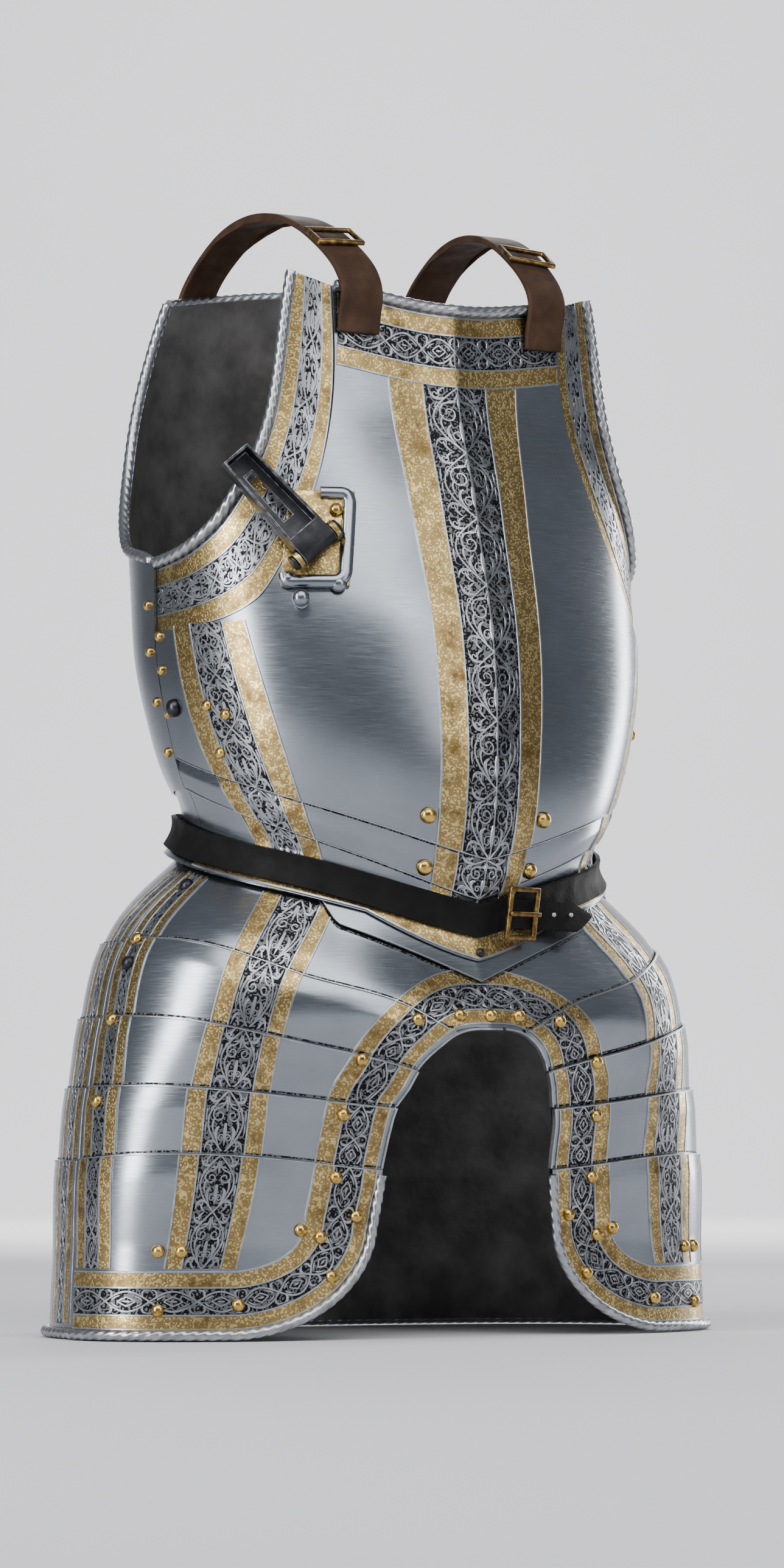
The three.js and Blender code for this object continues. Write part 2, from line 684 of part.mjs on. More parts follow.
const beltRing = ringBand(
  beltAngles,
  (angle) => waistHeight(angle) + beltWidth / 2,
  (angle) => waistHeight(angle) - beltWidth / 2,
  beltOffset,
  beltThickness,
);

// The outermost surface at the waist: the belt's flat face, or the flange below the belt
function waistFace(angle, height) {
  const foot = waistHeight(angle) - beltWidth / 2;
  const share = (height - foot) / beltWidth;
  if (share < 0) return skin(angle, height, lapStep);
  return skin(angle, foot, beltOffset).lerp(skin(angle, foot + beltWidth, beltOffset), share);
}

// The tail leaves the belt at the buckle and hangs below it over the flange
const tailStart = buckleAngle - 2;
const tailSteps = 7;
const tailDroop = 6;
const tailThickness = beltThickness - 0.4;
const tailRoot = 0.8;
const tailTaperStart = 0.82;
const tailTip = 0.45;
const tailStations = [];
for (let i = 0; i <= tailSteps; i += 1) {
  const share = i / tailSteps;
  const angle = tailStart + share * THREE.MathUtils.radToDeg(tailLength / waistFront);
  const height = lerp(waistHeight(tailStart), waistHeight(angle), 0.35) - tailDroop * share;
  const width = beltWidth * (share > tailTaperStart ? tailTip : 0.95);
  const out = bodyNormal(angle, waistHeight(angle));
  const lift = i === 0 ? tailThickness / 2 - tailRoot : tailThickness / 2 + 2 * pieceGap + beltClearance;
  const upper = waistFace(angle, height + width / 2).addScaledVector(out, lift);
  const lower = waistFace(angle, height - width / 2).addScaledVector(out, lift);
  const across = upper.clone().sub(lower).normalize();
  const right = new THREE.Vector3().crossVectors(across, out).normalize();
  tailStations.push({
    centre: upper.add(lower).multiplyScalar(0.5),
    across,
    out: new THREE.Vector3().crossVectors(right, across),
    width,
  });
}
addPiece('belt', joined(beltRing, strip(tailStations, beltWidth, tailThickness)), blackLeather);

// A local frame on the body: out is the outward direction, right runs toward the wearer's left
function seat(angle, height, offset) {
  const out = bodyNormal(angle, height);
  const up = new THREE.Vector3(0, 0, 1).addScaledVector(out, -out.z).normalize();
  const right = new THREE.Vector3().crossVectors(up, out);
  return { origin: skin(angle, height, offset), right, up, out };
}
function placed(geometry, place, turn = 0, tilt = 0) {
  const basis = new THREE.Matrix4().makeBasis(place.right, place.up, place.out);
  return geometry.clone()
    .applyMatrix4(new THREE.Matrix4().makeRotationX(tilt))
    .applyMatrix4(new THREE.Matrix4().makeRotationZ(turn))
    .applyMatrix4(basis.setPosition(place.origin));
}

function frameRing(width, height, wire) {
  const outline = new THREE.Shape([
    new THREE.Vector2(-width / 2, -height / 2),
    new THREE.Vector2(width / 2, -height / 2),
    new THREE.Vector2(width / 2, height / 2),
    new THREE.Vector2(-width / 2, height / 2),
  ]);
  const inner = [[-1, -1], [-1, 1], [1, 1], [1, -1]];
  outline.holes.push(new THREE.Path(inner.map(([x, y]) => new THREE.Vector2(
    x * (width / 2 - wire),
    y * (height / 2 - wire),
  ))));
  return new THREE.ExtrudeGeometry(outline, { depth: wire, bevelEnabled: false });
}

// Belt buckle: a square frame that the tail passes through, with its tongue
const buckleLift = beltOffset + beltThickness + 2.4;
const buckleSeat = seat(buckleAngle, waistHeight(buckleAngle), buckleLift);
addPiece('belt_buckle', placed(frameRing(buckleWidth, buckleHeight, buckleWire), buckleSeat), giltSteel);
const tongueSeat = seat(buckleAngle, waistHeight(buckleAngle), buckleLift + buckleWire + pieceGap);
addPiece('belt_buckle_tongue', placed(
  new THREE.BoxGeometry(buckleWidth, buckleWire, buckleWire * 0.8).translate(0, 0, buckleWire * 0.4),
  tongueSeat,
), giltSteel);

// Shoulder straps: from the breastplate's top corners over the shoulders to the backplate
const strapFrontAngle = 40;
const strapBackAngle = 138;
const strapOffset = ropeDiameter / 2 + strapThickness / 2 + ropeOffset + 5 * pieceGap;
function strapPath(side) {
  const frontTop = lerp(breastRows[breastRows.length - 1].centre, breastRows[breastRows.length - 1].edgeHeight, 0.7) * torsoHeight;
  const backTop = lerp(backRows[backRows.length - 1].centre, backRows[backRows.length - 1].edgeHeight, 0.6) * torsoHeight;
  const plateSeat = 3 * pieceGap + strapThickness / 2;
  const front = skin(side * strapFrontAngle, frontTop + 2, strapOffset);
  const back = skin(side * strapBackAngle, backTop + 2, strapOffset);
  const apex = front.clone().add(back).multiplyScalar(0.5);
  apex.z = torsoHeight * 0.86 + strapRise;
  return new THREE.CatmullRomCurve3([
    skin(side * strapFrontAngle, frontTop - strapLap, plateSeat),
    skin(side * strapFrontAngle, frontTop - strapLap * 0.6, plateSeat + 0.4),
    front,
    front.clone().lerp(apex, 0.5).add(new THREE.Vector3(0, 0, strapRise * 0.2)),
    apex,
    back.clone().lerp(apex, 0.5).add(new THREE.Vector3(0, 0, strapRise * 0.2)),
    back,
    skin(side * strapBackAngle, backTop - strapLap * 0.6, plateSeat + 0.4),
    skin(side * strapBackAngle, backTop - strapLap, plateSeat),
  ], false, 'centripetal');
}
const strapSteps = 22;
function strapStations(side) {
  const path = strapPath(side);
  const frontAcross = seat(side * strapFrontAngle, torsoHeight * 0.86, 0).right;
  const backAcross = seat(side * strapBackAngle, torsoHeight * 0.86, 0).right.multiplyScalar(-1);
  const crown = new THREE.Vector3(1, 0, 0);
  const list = [];
  for (let i = 0; i <= strapSteps; i += 1) {
    const share = i / strapSteps;
    const toCrown = THREE.MathUtils.smoothstep(share, 0.12, 0.5);
    const toBack = THREE.MathUtils.smoothstep(share, 0.5, 0.88);
    const lean = frontAcross.clone().lerp(crown, toCrown).lerp(backAcross, toBack).normalize();
    const along = path.getTangentAt(share);
    const out = new THREE.Vector3().crossVectors(lean, along).normalize();
    const across = new THREE.Vector3().crossVectors(out, along).normalize();
    list.push({ centre: path.getPointAt(share), across, out });
  }
  return list;
}
for (const [label, side] of [['right', -1], ['left', 1]]) {
  const stations = strapStations(side);
  addPiece(`${label}_shoulder_strap`, strip(stations, strapWidth, strapThickness), brownLeather);
  const spot = stations[6];
  const up = new THREE.Vector3().crossVectors(spot.out, spot.across);
  const origin = spot.centre.clone().addScaledVector(spot.out, strapThickness / 2 + pieceGap);
  addPiece(`${label}_shoulder_buckle`, placed(
    frameRing(strapWidth + 6, buckleWidth * 0.8, buckleWire),
    { origin, right: spot.across, up, out: spot.out },
  ), giltSteel);
}

// Lance rest: a bracket on the right breast, a hollow folding arm and the pin that joins them
const restAngle = -48;
const restLevel = 0.428 * torsoHeight;
const restLift = armDepth / 2 + restPlate + 1.6;
const restTurn = toRadians(42);
const restTilt = toRadians(5);
const restSeat = seat(restAngle, restLevel, restLift);

function bracketColumns() {
  const columns = [];
  const perDegree = bodyPoint(restAngle, restLevel).distanceTo(bodyPoint(restAngle + 1, restLevel));
  const spread = restWidth / perDegree;
  for (let i = 0; i <= 4; i += 1) {
    const angle = restAngle + 1 + spread * (i / 4 - 0.5);
    const column = [];
    for (let j = 0; j <= 4; j += 1) {
      column.push([angle, restLevel + restHeight * (0.62 - j / 4), restPlate + pieceGap]);
    }
    columns.push(column);
  }
  return columns;
}
function drum(radius, length, sides = 12) {
  return new THREE.CylinderGeometry(radius, radius, length, sides).rotateZ(Math.PI / 2);
}
const lugReach = armWidth / 2 + pieceGap + lugThickness / 2;
const lugDrop = restLift - restPlate / 2;
function lug(side) {
  const post = new THREE.BoxGeometry(lugThickness, armDepth, lugDrop).translate(0, 0, -lugDrop / 2);
  const eye = drum(armDepth / 2, lugThickness);
  return joined(post, eye).translate(side * lugReach, 0, 0);
}
const pinHole = drum(pinDiameter / 2 + pieceGap, armWidth * 3);
const bracket = toSolid(sheet(bracketColumns(), restPlate))
  .add(toSolid(placed(lug(-1), restSeat, restTurn)))
  .add(toSolid(placed(lug(1), restSeat, restTurn)))
  .subtract(toSolid(placed(pinHole, restSeat, restTurn)));
addPiece('lance_rest_bracket', fromSolid(bracket), polishedSteel);

function restArm() {
  const length = armLength - armDepth / 2;
  const bar = new THREE.BoxGeometry(armWidth, length, armDepth).translate(0, length / 2, 0);
  const knuckle = drum(armDepth / 2, armWidth);
  const troughLength = length - armDepth - armWall;
  const trough = new THREE.BoxGeometry(armWidth - 2 * armWall, troughLength, armDepth)
    .translate(0, armDepth + troughLength / 2, armWall);
  const slot = new THREE.BoxGeometry(slotWidth, troughLength * 0.6, armDepth * 2)
    .translate(0, armDepth + troughLength / 2, 0);
  return fromSolid(toSolid(bar).add(toSolid(knuckle))
    .subtract(toSolid(trough))
    .subtract(toSolid(slot))
    .subtract(toSolid(pinHole)));
}
addPiece('lance_rest_arm', placed(restArm(), restSeat, restTurn, restTilt), darkSteel);
const pinLength = 2 * (lugReach + lugThickness / 2) + 2 * pieceGap;
addPiece('lance_rest_pin', placed(
  joined(
    drum(pinDiameter / 2, pinLength),
    drum(pinDiameter, 1.6).translate(pinLength / 2 + 0.8, 0, 0),
    drum(pinDiameter, 1.6).translate(-pinLength / 2 - 0.8, 0, 0),
  ),
  restSeat,
  restTurn,
), darkSteel);

// Round heads turned as lathe shapes
function domed(diameter) {
  const profile = [[0, 0], [0.5, 0], [0.4, 0.26], [0, 0.42]];
  const points = profile.map(([x, y]) => new THREE.Vector2(x * diameter, y * diameter));
  return new THREE.LatheGeometry(points, 8).rotateX(Math.PI / 2);
}
function ballHead(diameter) {
  const profile = [[0, 0], [0.42, 0], [0.42, 0.1], [0.2, 0.2], [0.2, 0.36], [0.42, 0.5], [0.5, 0.8], [0.38, 1.1], [0, 1.25]];
  const points = profile.map(([x, y]) => new THREE.Vector2(x * diameter, y * diameter));
  return new THREE.LatheGeometry(points, 10).rotateX(Math.PI / 2);
}
addPiece('ball_pin', placed(ballHead(ballDiameter), seat(-50, 0.342 * torsoHeight, pieceGap)), polishedSteel);

// Large gilt rivets: on the medial band of the waist, beside the seams, and the skirt's side pins
const bandRivetAngle = 18.8;
// Where a rivet stands between facet edges, the flat facet lies this far inside the curve
const facetSag = 0.8;
const rivetSpots = [
  { label: 'band_rivet_upper', angle: bandRivetAngle, height: -0.005 * torsoHeight, size: bandRivet, lift: 0 },
  { label: 'band_rivet_lower', angle: bandRivetAngle, height: -0.088 * torsoHeight, size: bandRivet, lift: 0 },
  { label: 'side_stud', angle: 85, height: 0.18 * torsoHeight, size: sideStud, lift: 0 },
  { label: 'side_rivet_1', angle: 73, height: 0.178 * torsoHeight, size: sideRivet, lift: -facetSag },
  { label: 'side_rivet_2', angle: 68, height: 0.161 * torsoHeight, size: sideRivet, lift: -facetSag },
  { label: 'side_rivet_3', angle: 71, height: 0.1 * torsoHeight, size: sideRivet, lift: -facetSag },
  { label: 'skirt_pin_1', angle: 84, height: -0.13 * skirtLength, size: skirtPin, lift: -lapStep },
  { label: 'skirt_pin_2', angle: 84, height: -0.29 * skirtLength, size: skirtPin, lift: lapStep },
];
for (const [label, side] of [['right', -1], ['left', 1]]) {
  for (const spot of rivetSpots) {
    const place = seat(side * spot.angle, spot.height, spot.lift + pieceGap);
    addPiece(`${label}_${spot.label}`, placed(domed(spot.size), place), giltSteel);
  }
}

// Bring the underside of the shoulder straps to the origin
const strapUnderside = Math.min(...[-1, 1].map((side) => {
  const crown = strapStations(side)[strapSteps / 2];
  return crown.centre.z - strapThickness / 2;
}));
body.position.set(0, 0, -strapUnderside);

export default model;
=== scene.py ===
"""A field cuirass of polished steel with etched and gilt bands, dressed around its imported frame."""
import json
import math

import bpy
import numpy as np
from mathutils import Matrix, Vector


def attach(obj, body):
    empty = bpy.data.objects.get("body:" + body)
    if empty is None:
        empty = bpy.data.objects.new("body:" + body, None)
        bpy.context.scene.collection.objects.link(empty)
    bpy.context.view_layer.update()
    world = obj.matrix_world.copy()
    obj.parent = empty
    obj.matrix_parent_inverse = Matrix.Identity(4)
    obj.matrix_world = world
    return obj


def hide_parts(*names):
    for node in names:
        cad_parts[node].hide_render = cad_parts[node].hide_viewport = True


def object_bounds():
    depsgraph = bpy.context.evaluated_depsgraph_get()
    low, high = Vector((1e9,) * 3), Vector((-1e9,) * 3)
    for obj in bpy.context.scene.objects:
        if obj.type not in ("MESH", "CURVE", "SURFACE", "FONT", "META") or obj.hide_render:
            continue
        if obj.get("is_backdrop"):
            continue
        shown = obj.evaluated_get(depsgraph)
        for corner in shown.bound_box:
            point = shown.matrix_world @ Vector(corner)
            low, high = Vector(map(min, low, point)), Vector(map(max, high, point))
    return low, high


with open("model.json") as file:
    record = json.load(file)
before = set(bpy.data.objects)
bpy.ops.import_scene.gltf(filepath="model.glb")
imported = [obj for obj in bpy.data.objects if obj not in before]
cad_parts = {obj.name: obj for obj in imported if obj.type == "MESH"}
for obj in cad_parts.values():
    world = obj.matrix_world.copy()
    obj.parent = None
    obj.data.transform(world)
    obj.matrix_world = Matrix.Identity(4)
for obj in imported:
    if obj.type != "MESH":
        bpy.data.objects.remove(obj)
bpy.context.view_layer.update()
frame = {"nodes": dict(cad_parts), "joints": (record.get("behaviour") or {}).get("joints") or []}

bl_info = {
    "name": "Etched Field Cuirass",
    "version": (1, 0, 0),
    "blender": (4, 5, 0),
    "location": "View3D > Sidebar > Cuirass",
    "description": "Models an etched and gilt field cuirass with its skirt, belt, straps and lance rest",
    "category": "Object",
}

MM = 0.001
BODY = "cuirass"
ARM_BODY = "lance_rest_arm"
SIDES = (("right", -1), ("left", 1))
BOTH = (-1, 1)


def to_linear(code):
    """An sRGB hex value as linear red, green and blue."""
    channels = [((code >> shift) & 255) / 255 for shift in (16, 8, 0)]
    return [c / 12.92 if c <= 0.04045 else ((c + 0.055) / 1.055) ** 2.4 for c in channels]


def length_setting(name, description, default):
    """A length in metres that a user may change."""
    return bpy.props.FloatProperty(
        name=name, description=description, default=default, min=0.0, unit="LENGTH", precision=4)


def colour_setting(name, description, code):
    """A colour that a user may change, from its sRGB hex value."""
    return bpy.props.FloatVectorProperty(
        name=name, description=description, default=to_linear(code), subtype="COLOR", size=3,
        min=0.0, max=1.0)


class CuirassSizes(bpy.types.PropertyGroup):
    """Sizes of the plates' trim and of the leather"""
    plate: length_setting("Plate thickness", "Thickness of every steel plate", 0.0012)
    rope: length_setting("Rope rim", "Diameter of the roped rims at neck and arms", 0.007)
    hem_rope: length_setting("Hem rope", "Diameter of the roped rim of the skirt", 0.0064)
    rope_pitch: length_setting("Rope pitch", "Distance between two grooves of a roped rim", 0.0068)
    fillet: length_setting("Fillet", "Width of the bright fillets beside the gilt bands", 0.0017)
    stem: length_setting("Stem", "Width of the etched stems", 0.0015)
    leaf: length_setting("Leaf", "Greatest width of the etched leaves", 0.0026)
    rivet: length_setting("Rivet", "Diameter of the small gilt rivets", 0.0080)
    belt_width: length_setting("Belt width", "Width of the waist belt", 0.022)
    belt_thickness: length_setting("Belt thickness", "Thickness of the waist belt", 0.003)


class CuirassColours(bpy.types.PropertyGroup):
    """Colours of the metals and of the leather"""
    steel: colour_setting("Polished steel", "Cool grey of the plates", 0x92989F)
    # This colour also makes the beads along the laps' edges, as painted highlight.
    bright: colour_setting("Burnished steel", "Fillets and rims", 0xB4B7BC)
    leaf: colour_setting("Etched leaves", "Steel left standing on the etched ground", 0xB0B3B8)
    # This colour also paints the shadow strips beside the laps' edges.
    ground: colour_setting("Blackened ground", "Etched ground between the leaves", 0x17181C)
    inside: colour_setting("Inner faces", "Dull steel inside the plates", 0x807E7C)
    gold: colour_setting("Gilding", "Fire gilding where it is whole", 0xDEC588)
    gold_worn: colour_setting("Worn gilding", "Gilding rubbed to brown", 0x85693F)
    rivet: colour_setting("Rivet heads", "Gilt heads of the rivets", 0xD0AC5E)
    iron: colour_setting("Dark iron", "Lance rest arm and pins", 0x37383B)
    belt: colour_setting("Belt leather", "Waist belt", 0x0E0D0D)
    strap: colour_setting("Strap leather", "Shoulder straps", 0x3E2C20)
    stage: colour_setting("Stage", "Floor and backdrop", 0xD2D2D5)


def sizes():
    return bpy.context.scene.cuirass_sizes


def colours():
    return bpy.context.scene.cuirass_colours


# Body sizes in millimetres, heights from the narrowest ring of the waist at the wearer's side
TORSO = 360.0
SKIRT = 307.0
WAIST_DIP = 60.0
RIDGE = 8.0
HALF_WIDTHS = (129.0, 160.0, 216.0)
FRONT_DEPTHS = (101.0, 124.0, 120.0)
BACK_DEPTHS = (94.0, 121.0, 128.0)
LAP = 2.0
LAP_WIDTH = 11.0
LAP_EASE = 0.4
SIDE_EDGE = 89.9
FRONT_EDGE = 88.0
BELT_CLEARANCE = 0.9
TAIL_LENGTH = 54.0

# Cross sections: height share, then width, front and back (0 at the waist, 1 at the chest or skirt),
# squareness and share of the ridge
SECTIONS = np.array([
    (-1.000, 1.000, -0.37, 1.00, 2.5, 0.00),
    (-0.847, 0.977, -0.37, 1.00, 2.5, 0.00),
    (-0.684, 0.943, -0.21, 1.00, 2.5, 0.00),
    (-0.489, 0.862, 0.32, 0.97, 2.4, 0.00),
    (-0.358, 0.770, 0.84, 0.91, 2.4, 0.12),
    (-0.195, 0.586, 1.00, 0.65, 2.3, 0.38),
    (-0.098, 0.310, 0.30, 0.35, 2.3, 0.62),
    (0.000, 0.000, 0.00, 0.00, 2.3, 0.75),
    (0.083, 0.290, 0.48, 0.30, 2.3, 1.00),
    (0.167, 0.645, 0.87, 0.52, 2.3, 1.00),
    (0.278, 0.935, 1.00, 0.78, 2.3, 1.00),
    (0.375, 1.000, 0.74, 0.93, 2.3, 1.00),
    (0.458, 1.000, 0.22, 1.00, 2.4, 1.00),
    (0.556, 0.935, -0.26, 1.00, 2.6, 1.00),
    (0.667, 0.740, -0.74, 0.89, 3.0, 0.75),
    (0.778, 0.550, -0.96, 0.59, 3.3, 0.62),
    (0.889, 0.355, -1.00, 0.15, 3.3, 0.50),
    (1.000, 0.100, -1.09, -0.52, 3.3, 0.38),
])

# Rows of the breastplate from its foot to the neck: centre, edge angle, edge height, rope angle, rope height
BREAST_ROWS = np.array([
    (-0.075, 90, 0.100, 90, 0.424),
    (-0.014, 90, 0.139, 90, 0.424),
    (0.050, 90, 0.183, 90, 0.424),
    (0.142, 90, 0.247, 90, 0.424),
    (0.233, 90, 0.303, 90, 0.424),
    (0.278, 78, 0.306, 80, 0.436),
    (0.317, 68, 0.317, 73, 0.464),
    (0.356, 62, 0.336, 69, 0.494),
    (0.400, 57.5, 0.369, 66, 0.531),
    (0.461, 52.5, 0.450, 62.5, 0.583),
    (0.528, 48.5, 0.542, 60.2, 0.653),
    (0.611, 46.5, 0.639, 59, 0.736),
    (0.728, 46, 0.750, 58, 0.833),
    (0.853, 47, 0.881, 57, 0.903),
])
ARMPIT_ROW = 4

# Rows of the backplate: centre, edge angle, edge height
BACK_ROWS = np.array([
    (0.050, 90, 0.050),
    (0.125, 90, 0.117),
    (0.211, 90, 0.189),
    (0.300, 90, 0.260),
    (0.378, 90, 0.340),
    (0.450, 90, 0.424),
    (0.522, 103, 0.456),
    (0.594, 114, 0.528),
    (0.672, 121, 0.611),
    (0.756, 125, 0.708),
    (0.844, 127, 0.806),
    (0.944, 127, 0.903),
])

# Inner edge of the arch between the tassets: angle and height share of the skirt
ARCH = np.array([
    (0, -0.414), (6, -0.415), (11, -0.424), (17.5, -0.458), (20.7, -0.485), (25.5, -0.544),
    (29, -0.600), (31.2, -0.680), (34.5, -0.801),
])
HEM = -0.995 * SKIRT
HEM_CORNER = 62.0
HEM_POWER = 1.6

# Upper edges of the tasset lames at these angles
LAME_ANGLES = [13, 28, 48, 66, 90]
LAME_LINES = [
    [-0.414, -0.361, -0.316, -0.260, -0.238],
    [-0.512, -0.478, -0.441, -0.402, -0.388],
    [-0.575, -0.563, -0.546, -0.527, -0.524],
    [-0.690, -0.684, -0.668, -0.652, -0.664],
]


def natural_curve(xs, ys):
    """A natural cubic curve through a short table."""
    xs = np.asarray(xs, float)
    ys = np.asarray(ys, float)
    count = len(xs)
    steps = np.diff(xs)
    slopes = np.diff(ys) / steps
    system = np.eye(count)
    loads = np.zeros(count)
    for i in range(1, count - 1):
        system[i, i - 1:i + 2] = steps[i - 1], 2 * (steps[i - 1] + steps[i]), steps[i]
        loads[i] = 6 * (slopes[i] - slopes[i - 1])
    bend = np.linalg.solve(system, loads)

    def curve(x):
        x = np.asarray(x, float)
        i = np.clip(np.searchsorted(xs, x) - 1, 0, count - 2)
        step = steps[i]
        left = (xs[i + 1] - x) / step
        right = (x - xs[i]) / step
        cubic = (left ** 3 - left) * bend[i] + (right ** 3 - right) * bend[i + 1]
        return left * ys[i] + right * ys[i + 1] + cubic * step * step / 6
    return curve


def section_curve(column, triple):
    waist, chest, skirt = triple
    share = SECTIONS[:, column]
    reach = np.where(SECTIONS[:, 0] > 0, chest, skirt)
    return natural_curve(SECTION_HEIGHTS, waist + share * (reach - waist))


SECTION_HEIGHTS = SECTIONS[:, 0] * np.where(SECTIONS[:, 0] > 0, TORSO, SKIRT)
half_width_at = section_curve(1, HALF_WIDTHS)
front_depth_at = section_curve(2, FRONT_DEPTHS)
back_depth_at = section_curve(3, BACK_DEPTHS)
squareness_at = natural_curve(SECTION_HEIGHTS, SECTIONS[:, 4])
ridge_at = natural_curve(SECTION_HEIGHTS, SECTIONS[:, 5] * RIDGE)


def lerp(a, b, share):
    return a + (b - a) * share


def smoothstep(x, low=0.0, high=1.0):
    x = np.clip((np.asarray(x, float) - low) / (high - low), 0, 1)
    return x * x * (3 - 2 * x)


def from_front(angle):
    return np.abs(np.where(np.asarray(angle) > 180, np.asarray(angle) - 360, angle))


def waist_height(angle):
    """Height of the narrowest ring at an angle from the front."""
    share = 1 - (from_front(angle) / 110.0) ** 1.1
    return -2.0 - WAIST_DIP * (share + np.hypot(share, 0.08)) / 2


def dip_share(height):
    """How much of the waist line's dip a height still follows."""
    below = (-0.293 * SKIRT - height) / (0.554 * SKIRT)
    above = (height + 0.028 * TORSO) / (0.583 * TORSO)
    return 1 - smoothstep(np.where(height < -0.293 * SKIRT, below, above))


def body_point(angle, height):
    angle, height = np.broadcast_arrays(np.asarray(angle, float), np.asarray(height, float))
    level = height - waist_height(angle) * dip_share(height)
    side = np.sin(np.radians(angle))
    fore = np.cos(np.radians(angle))
    depth = np.where(fore >= 0, front_depth_at(level), back_depth_at(level))
    power = squareness_at(level)
    radius = (np.abs(side / half_width_at(level)) ** power + np.abs(fore / depth) ** power) ** (-1 / power)
    ridge = np.where(fore > 0, ridge_at(level) * (1 - np.abs(side)) ** 3, 0)
    return np.stack([radius * side, -radius * fore - ridge, height], axis=-1)


def body_normal(angle, height):
    across = body_point(angle + 0.4, height) - body_point(angle - 0.4, height)
    up = body_point(angle, height + 0.8) - body_point(angle, height - 0.8)
    out = np.cross(across, up)
    return out / np.linalg.norm(out, axis=-1, keepdims=True)


def skin(angle, height, offset=0.0):
    """Points in millimetres at a distance outside the body."""
    angle, height, offset = np.broadcast_arrays(*[np.asarray(v, float) for v in (angle, height, offset)])
    return body_point(angle, height) + body_normal(angle, height) * offset[..., None]


def run_along(points):
    """The distance from the first of a row of points to each of them."""
    return np.concatenate([[0], np.cumsum(np.linalg.norm(np.diff(points, axis=0), axis=1))])


def degree_width(angle, height):
    """Millimetres round the body for one degree."""
    return np.linalg.norm(body_point(angle + 0.5, height) - body_point(angle - 0.5, height), axis=-1)


def angle_at_width(width, height):
    """The angle at a distance round the body from the ridge."""
    fan = np.arange(0.0, 91.0, 1.5)
    height = np.atleast_1d(np.asarray(height, float))
    width = np.broadcast_to(np.asarray(width, float), height.shape)
    found = np.empty(height.shape)
    flat = found.reshape(-1)
    for i, (level, reach) in enumerate(zip(height.reshape(-1), width.reshape(-1))):
        points = body_point(fan, np.full(fan.shape, level))
        run = run_along(points)
        flat[i] = np.sign(reach) * np.interp(abs(reach), run, fan)
    return found


# Edges of the waist plates, the fauld, the tassets and the arch
def breast_edge(angle):
    rise = (BREAST_ROWS[0, 2] - BREAST_ROWS[0, 0]) * TORSO
    return BREAST_ROWS[0, 0] * TORSO + rise * (np.abs(angle) / 90) ** 1.15


def lace_edge(angle):
    share = np.minimum(from_front(angle) / 90, 1) ** 1.15
    return -0.139 * TORSO + 0.189 * TORSO * share


def flange_edge(angle):
    point = np.maximum(0, 1 - (from_front(angle) / 36) ** 2)
    return waist_height(angle) - 14 - 11 * point


def fauld_edge(angle):
    line = -0.322 * SKIRT + 0.00254 * SKIRT * np.abs(angle)
    return lerp(line, flange_edge(angle) + 5, smoothstep(np.abs(angle), 42, 51))


LAME_CURVES = [natural_curve(LAME_ANGLES, np.array(line) * SKIRT) for line in LAME_LINES]


def lame_line(index, angle):
    return LAME_CURVES[index](np.clip(np.abs(angle), LAME_ANGLES[0], 90))


arch_height = natural_curve(ARCH[:, 0], ARCH[:, 1] * SKIRT)
ARCH_FOOT = ARCH[-1]
arch_angle_curve = natural_curve(-ARCH[2:, 1] * SKIRT, ARCH[2:, 0])


def arch_angle(height):
    return arch_angle_curve(np.clip(-height, -ARCH[2, 1] * SKIRT, -ARCH_FOOT[1] * SKIRT))


def hem_edge(angle):
    fall = HEM - ARCH_FOOT[1] * SKIRT
    share = np.clip((HEM_CORNER - np.abs(angle)) / (HEM_CORNER - ARCH_FOOT[0]), 0, 1)
    return ARCH_FOOT[1] * SKIRT + fall * (1 - share ** HEM_POWER) ** (1 / HEM_POWER)


def meet_arch(index):
    angle = ARCH_FOOT[0]
    for _ in range(12):
        angle = float(arch_angle(lame_line(index, angle)))
    return angle


# Each plate of the waist and skirt as stations of height and outer offset down its face
def waist_lame_stations(angle):
    return [
        (breast_edge(angle) + LAP_WIDTH, -LAP), (breast_edge(angle) - 1, -LAP),
        (lace_edge(angle) + LAP_WIDTH, 0.0), (lace_edge(angle), 0.0),
    ]


def flange_stations(angle):
    belt_top = np.minimum(waist_height(angle) + 12, lace_edge(angle) - 4)
    return [
        (lace_edge(angle) + LAP_WIDTH - 2, -LAP), (lace_edge(angle) - 1, -LAP), (belt_top, -LAP / 2),
        (waist_height(angle) + 2, LAP), (waist_height(angle) - 7, LAP), (flange_edge(angle), LAP),
    ]


def fauld_1_stations(angle):
    return [
        (waist_height(angle) - 1, 0.0), (waist_height(angle) - 7, 0.0),
        (np.maximum(flange_edge(angle), fauld_edge(angle) + 1), 0.0), (fauld_edge(angle), 0.0),
    ]


def hanging_stations(angle, foot, offset):
    edge = fauld_edge(angle)
    tucked = offset - LAP - LAP_EASE
    clear = np.maximum(foot + LAP_WIDTH + 1, lerp(edge - 2, foot, 0.6))
    return [
        (edge + LAP_WIDTH, tucked), (edge + LAP_WIDTH / 2 - 1, tucked), (edge - 2, tucked),
        (clear, offset), (foot, offset),
    ]


def fauld_2_foot(angle):
    return np.maximum(arch_height(np.minimum(np.abs(angle), ARCH_FOOT[0])), lame_line(0, angle) - LAP_WIDTH)


def fauld_2_stations(angle):
    return hanging_stations(angle, fauld_2_foot(angle), 0.0)


def tasset_stations(index):
    def stations(angle):
        top = lame_line(index, angle)
        tucked = [(top, LAP), (top - LAP_WIDTH - 1, LAP + LAP_EASE)]
        if index == 3:
            foot = hem_edge(angle)
            return tucked + [(lerp(top, foot, 0.5), 0.0), (foot, 0.0)]
        after = lame_line(index + 1, angle)
        return tucked + [(after + 1, 0.0), (after - LAP_WIDTH, 0.0)]
    return stations


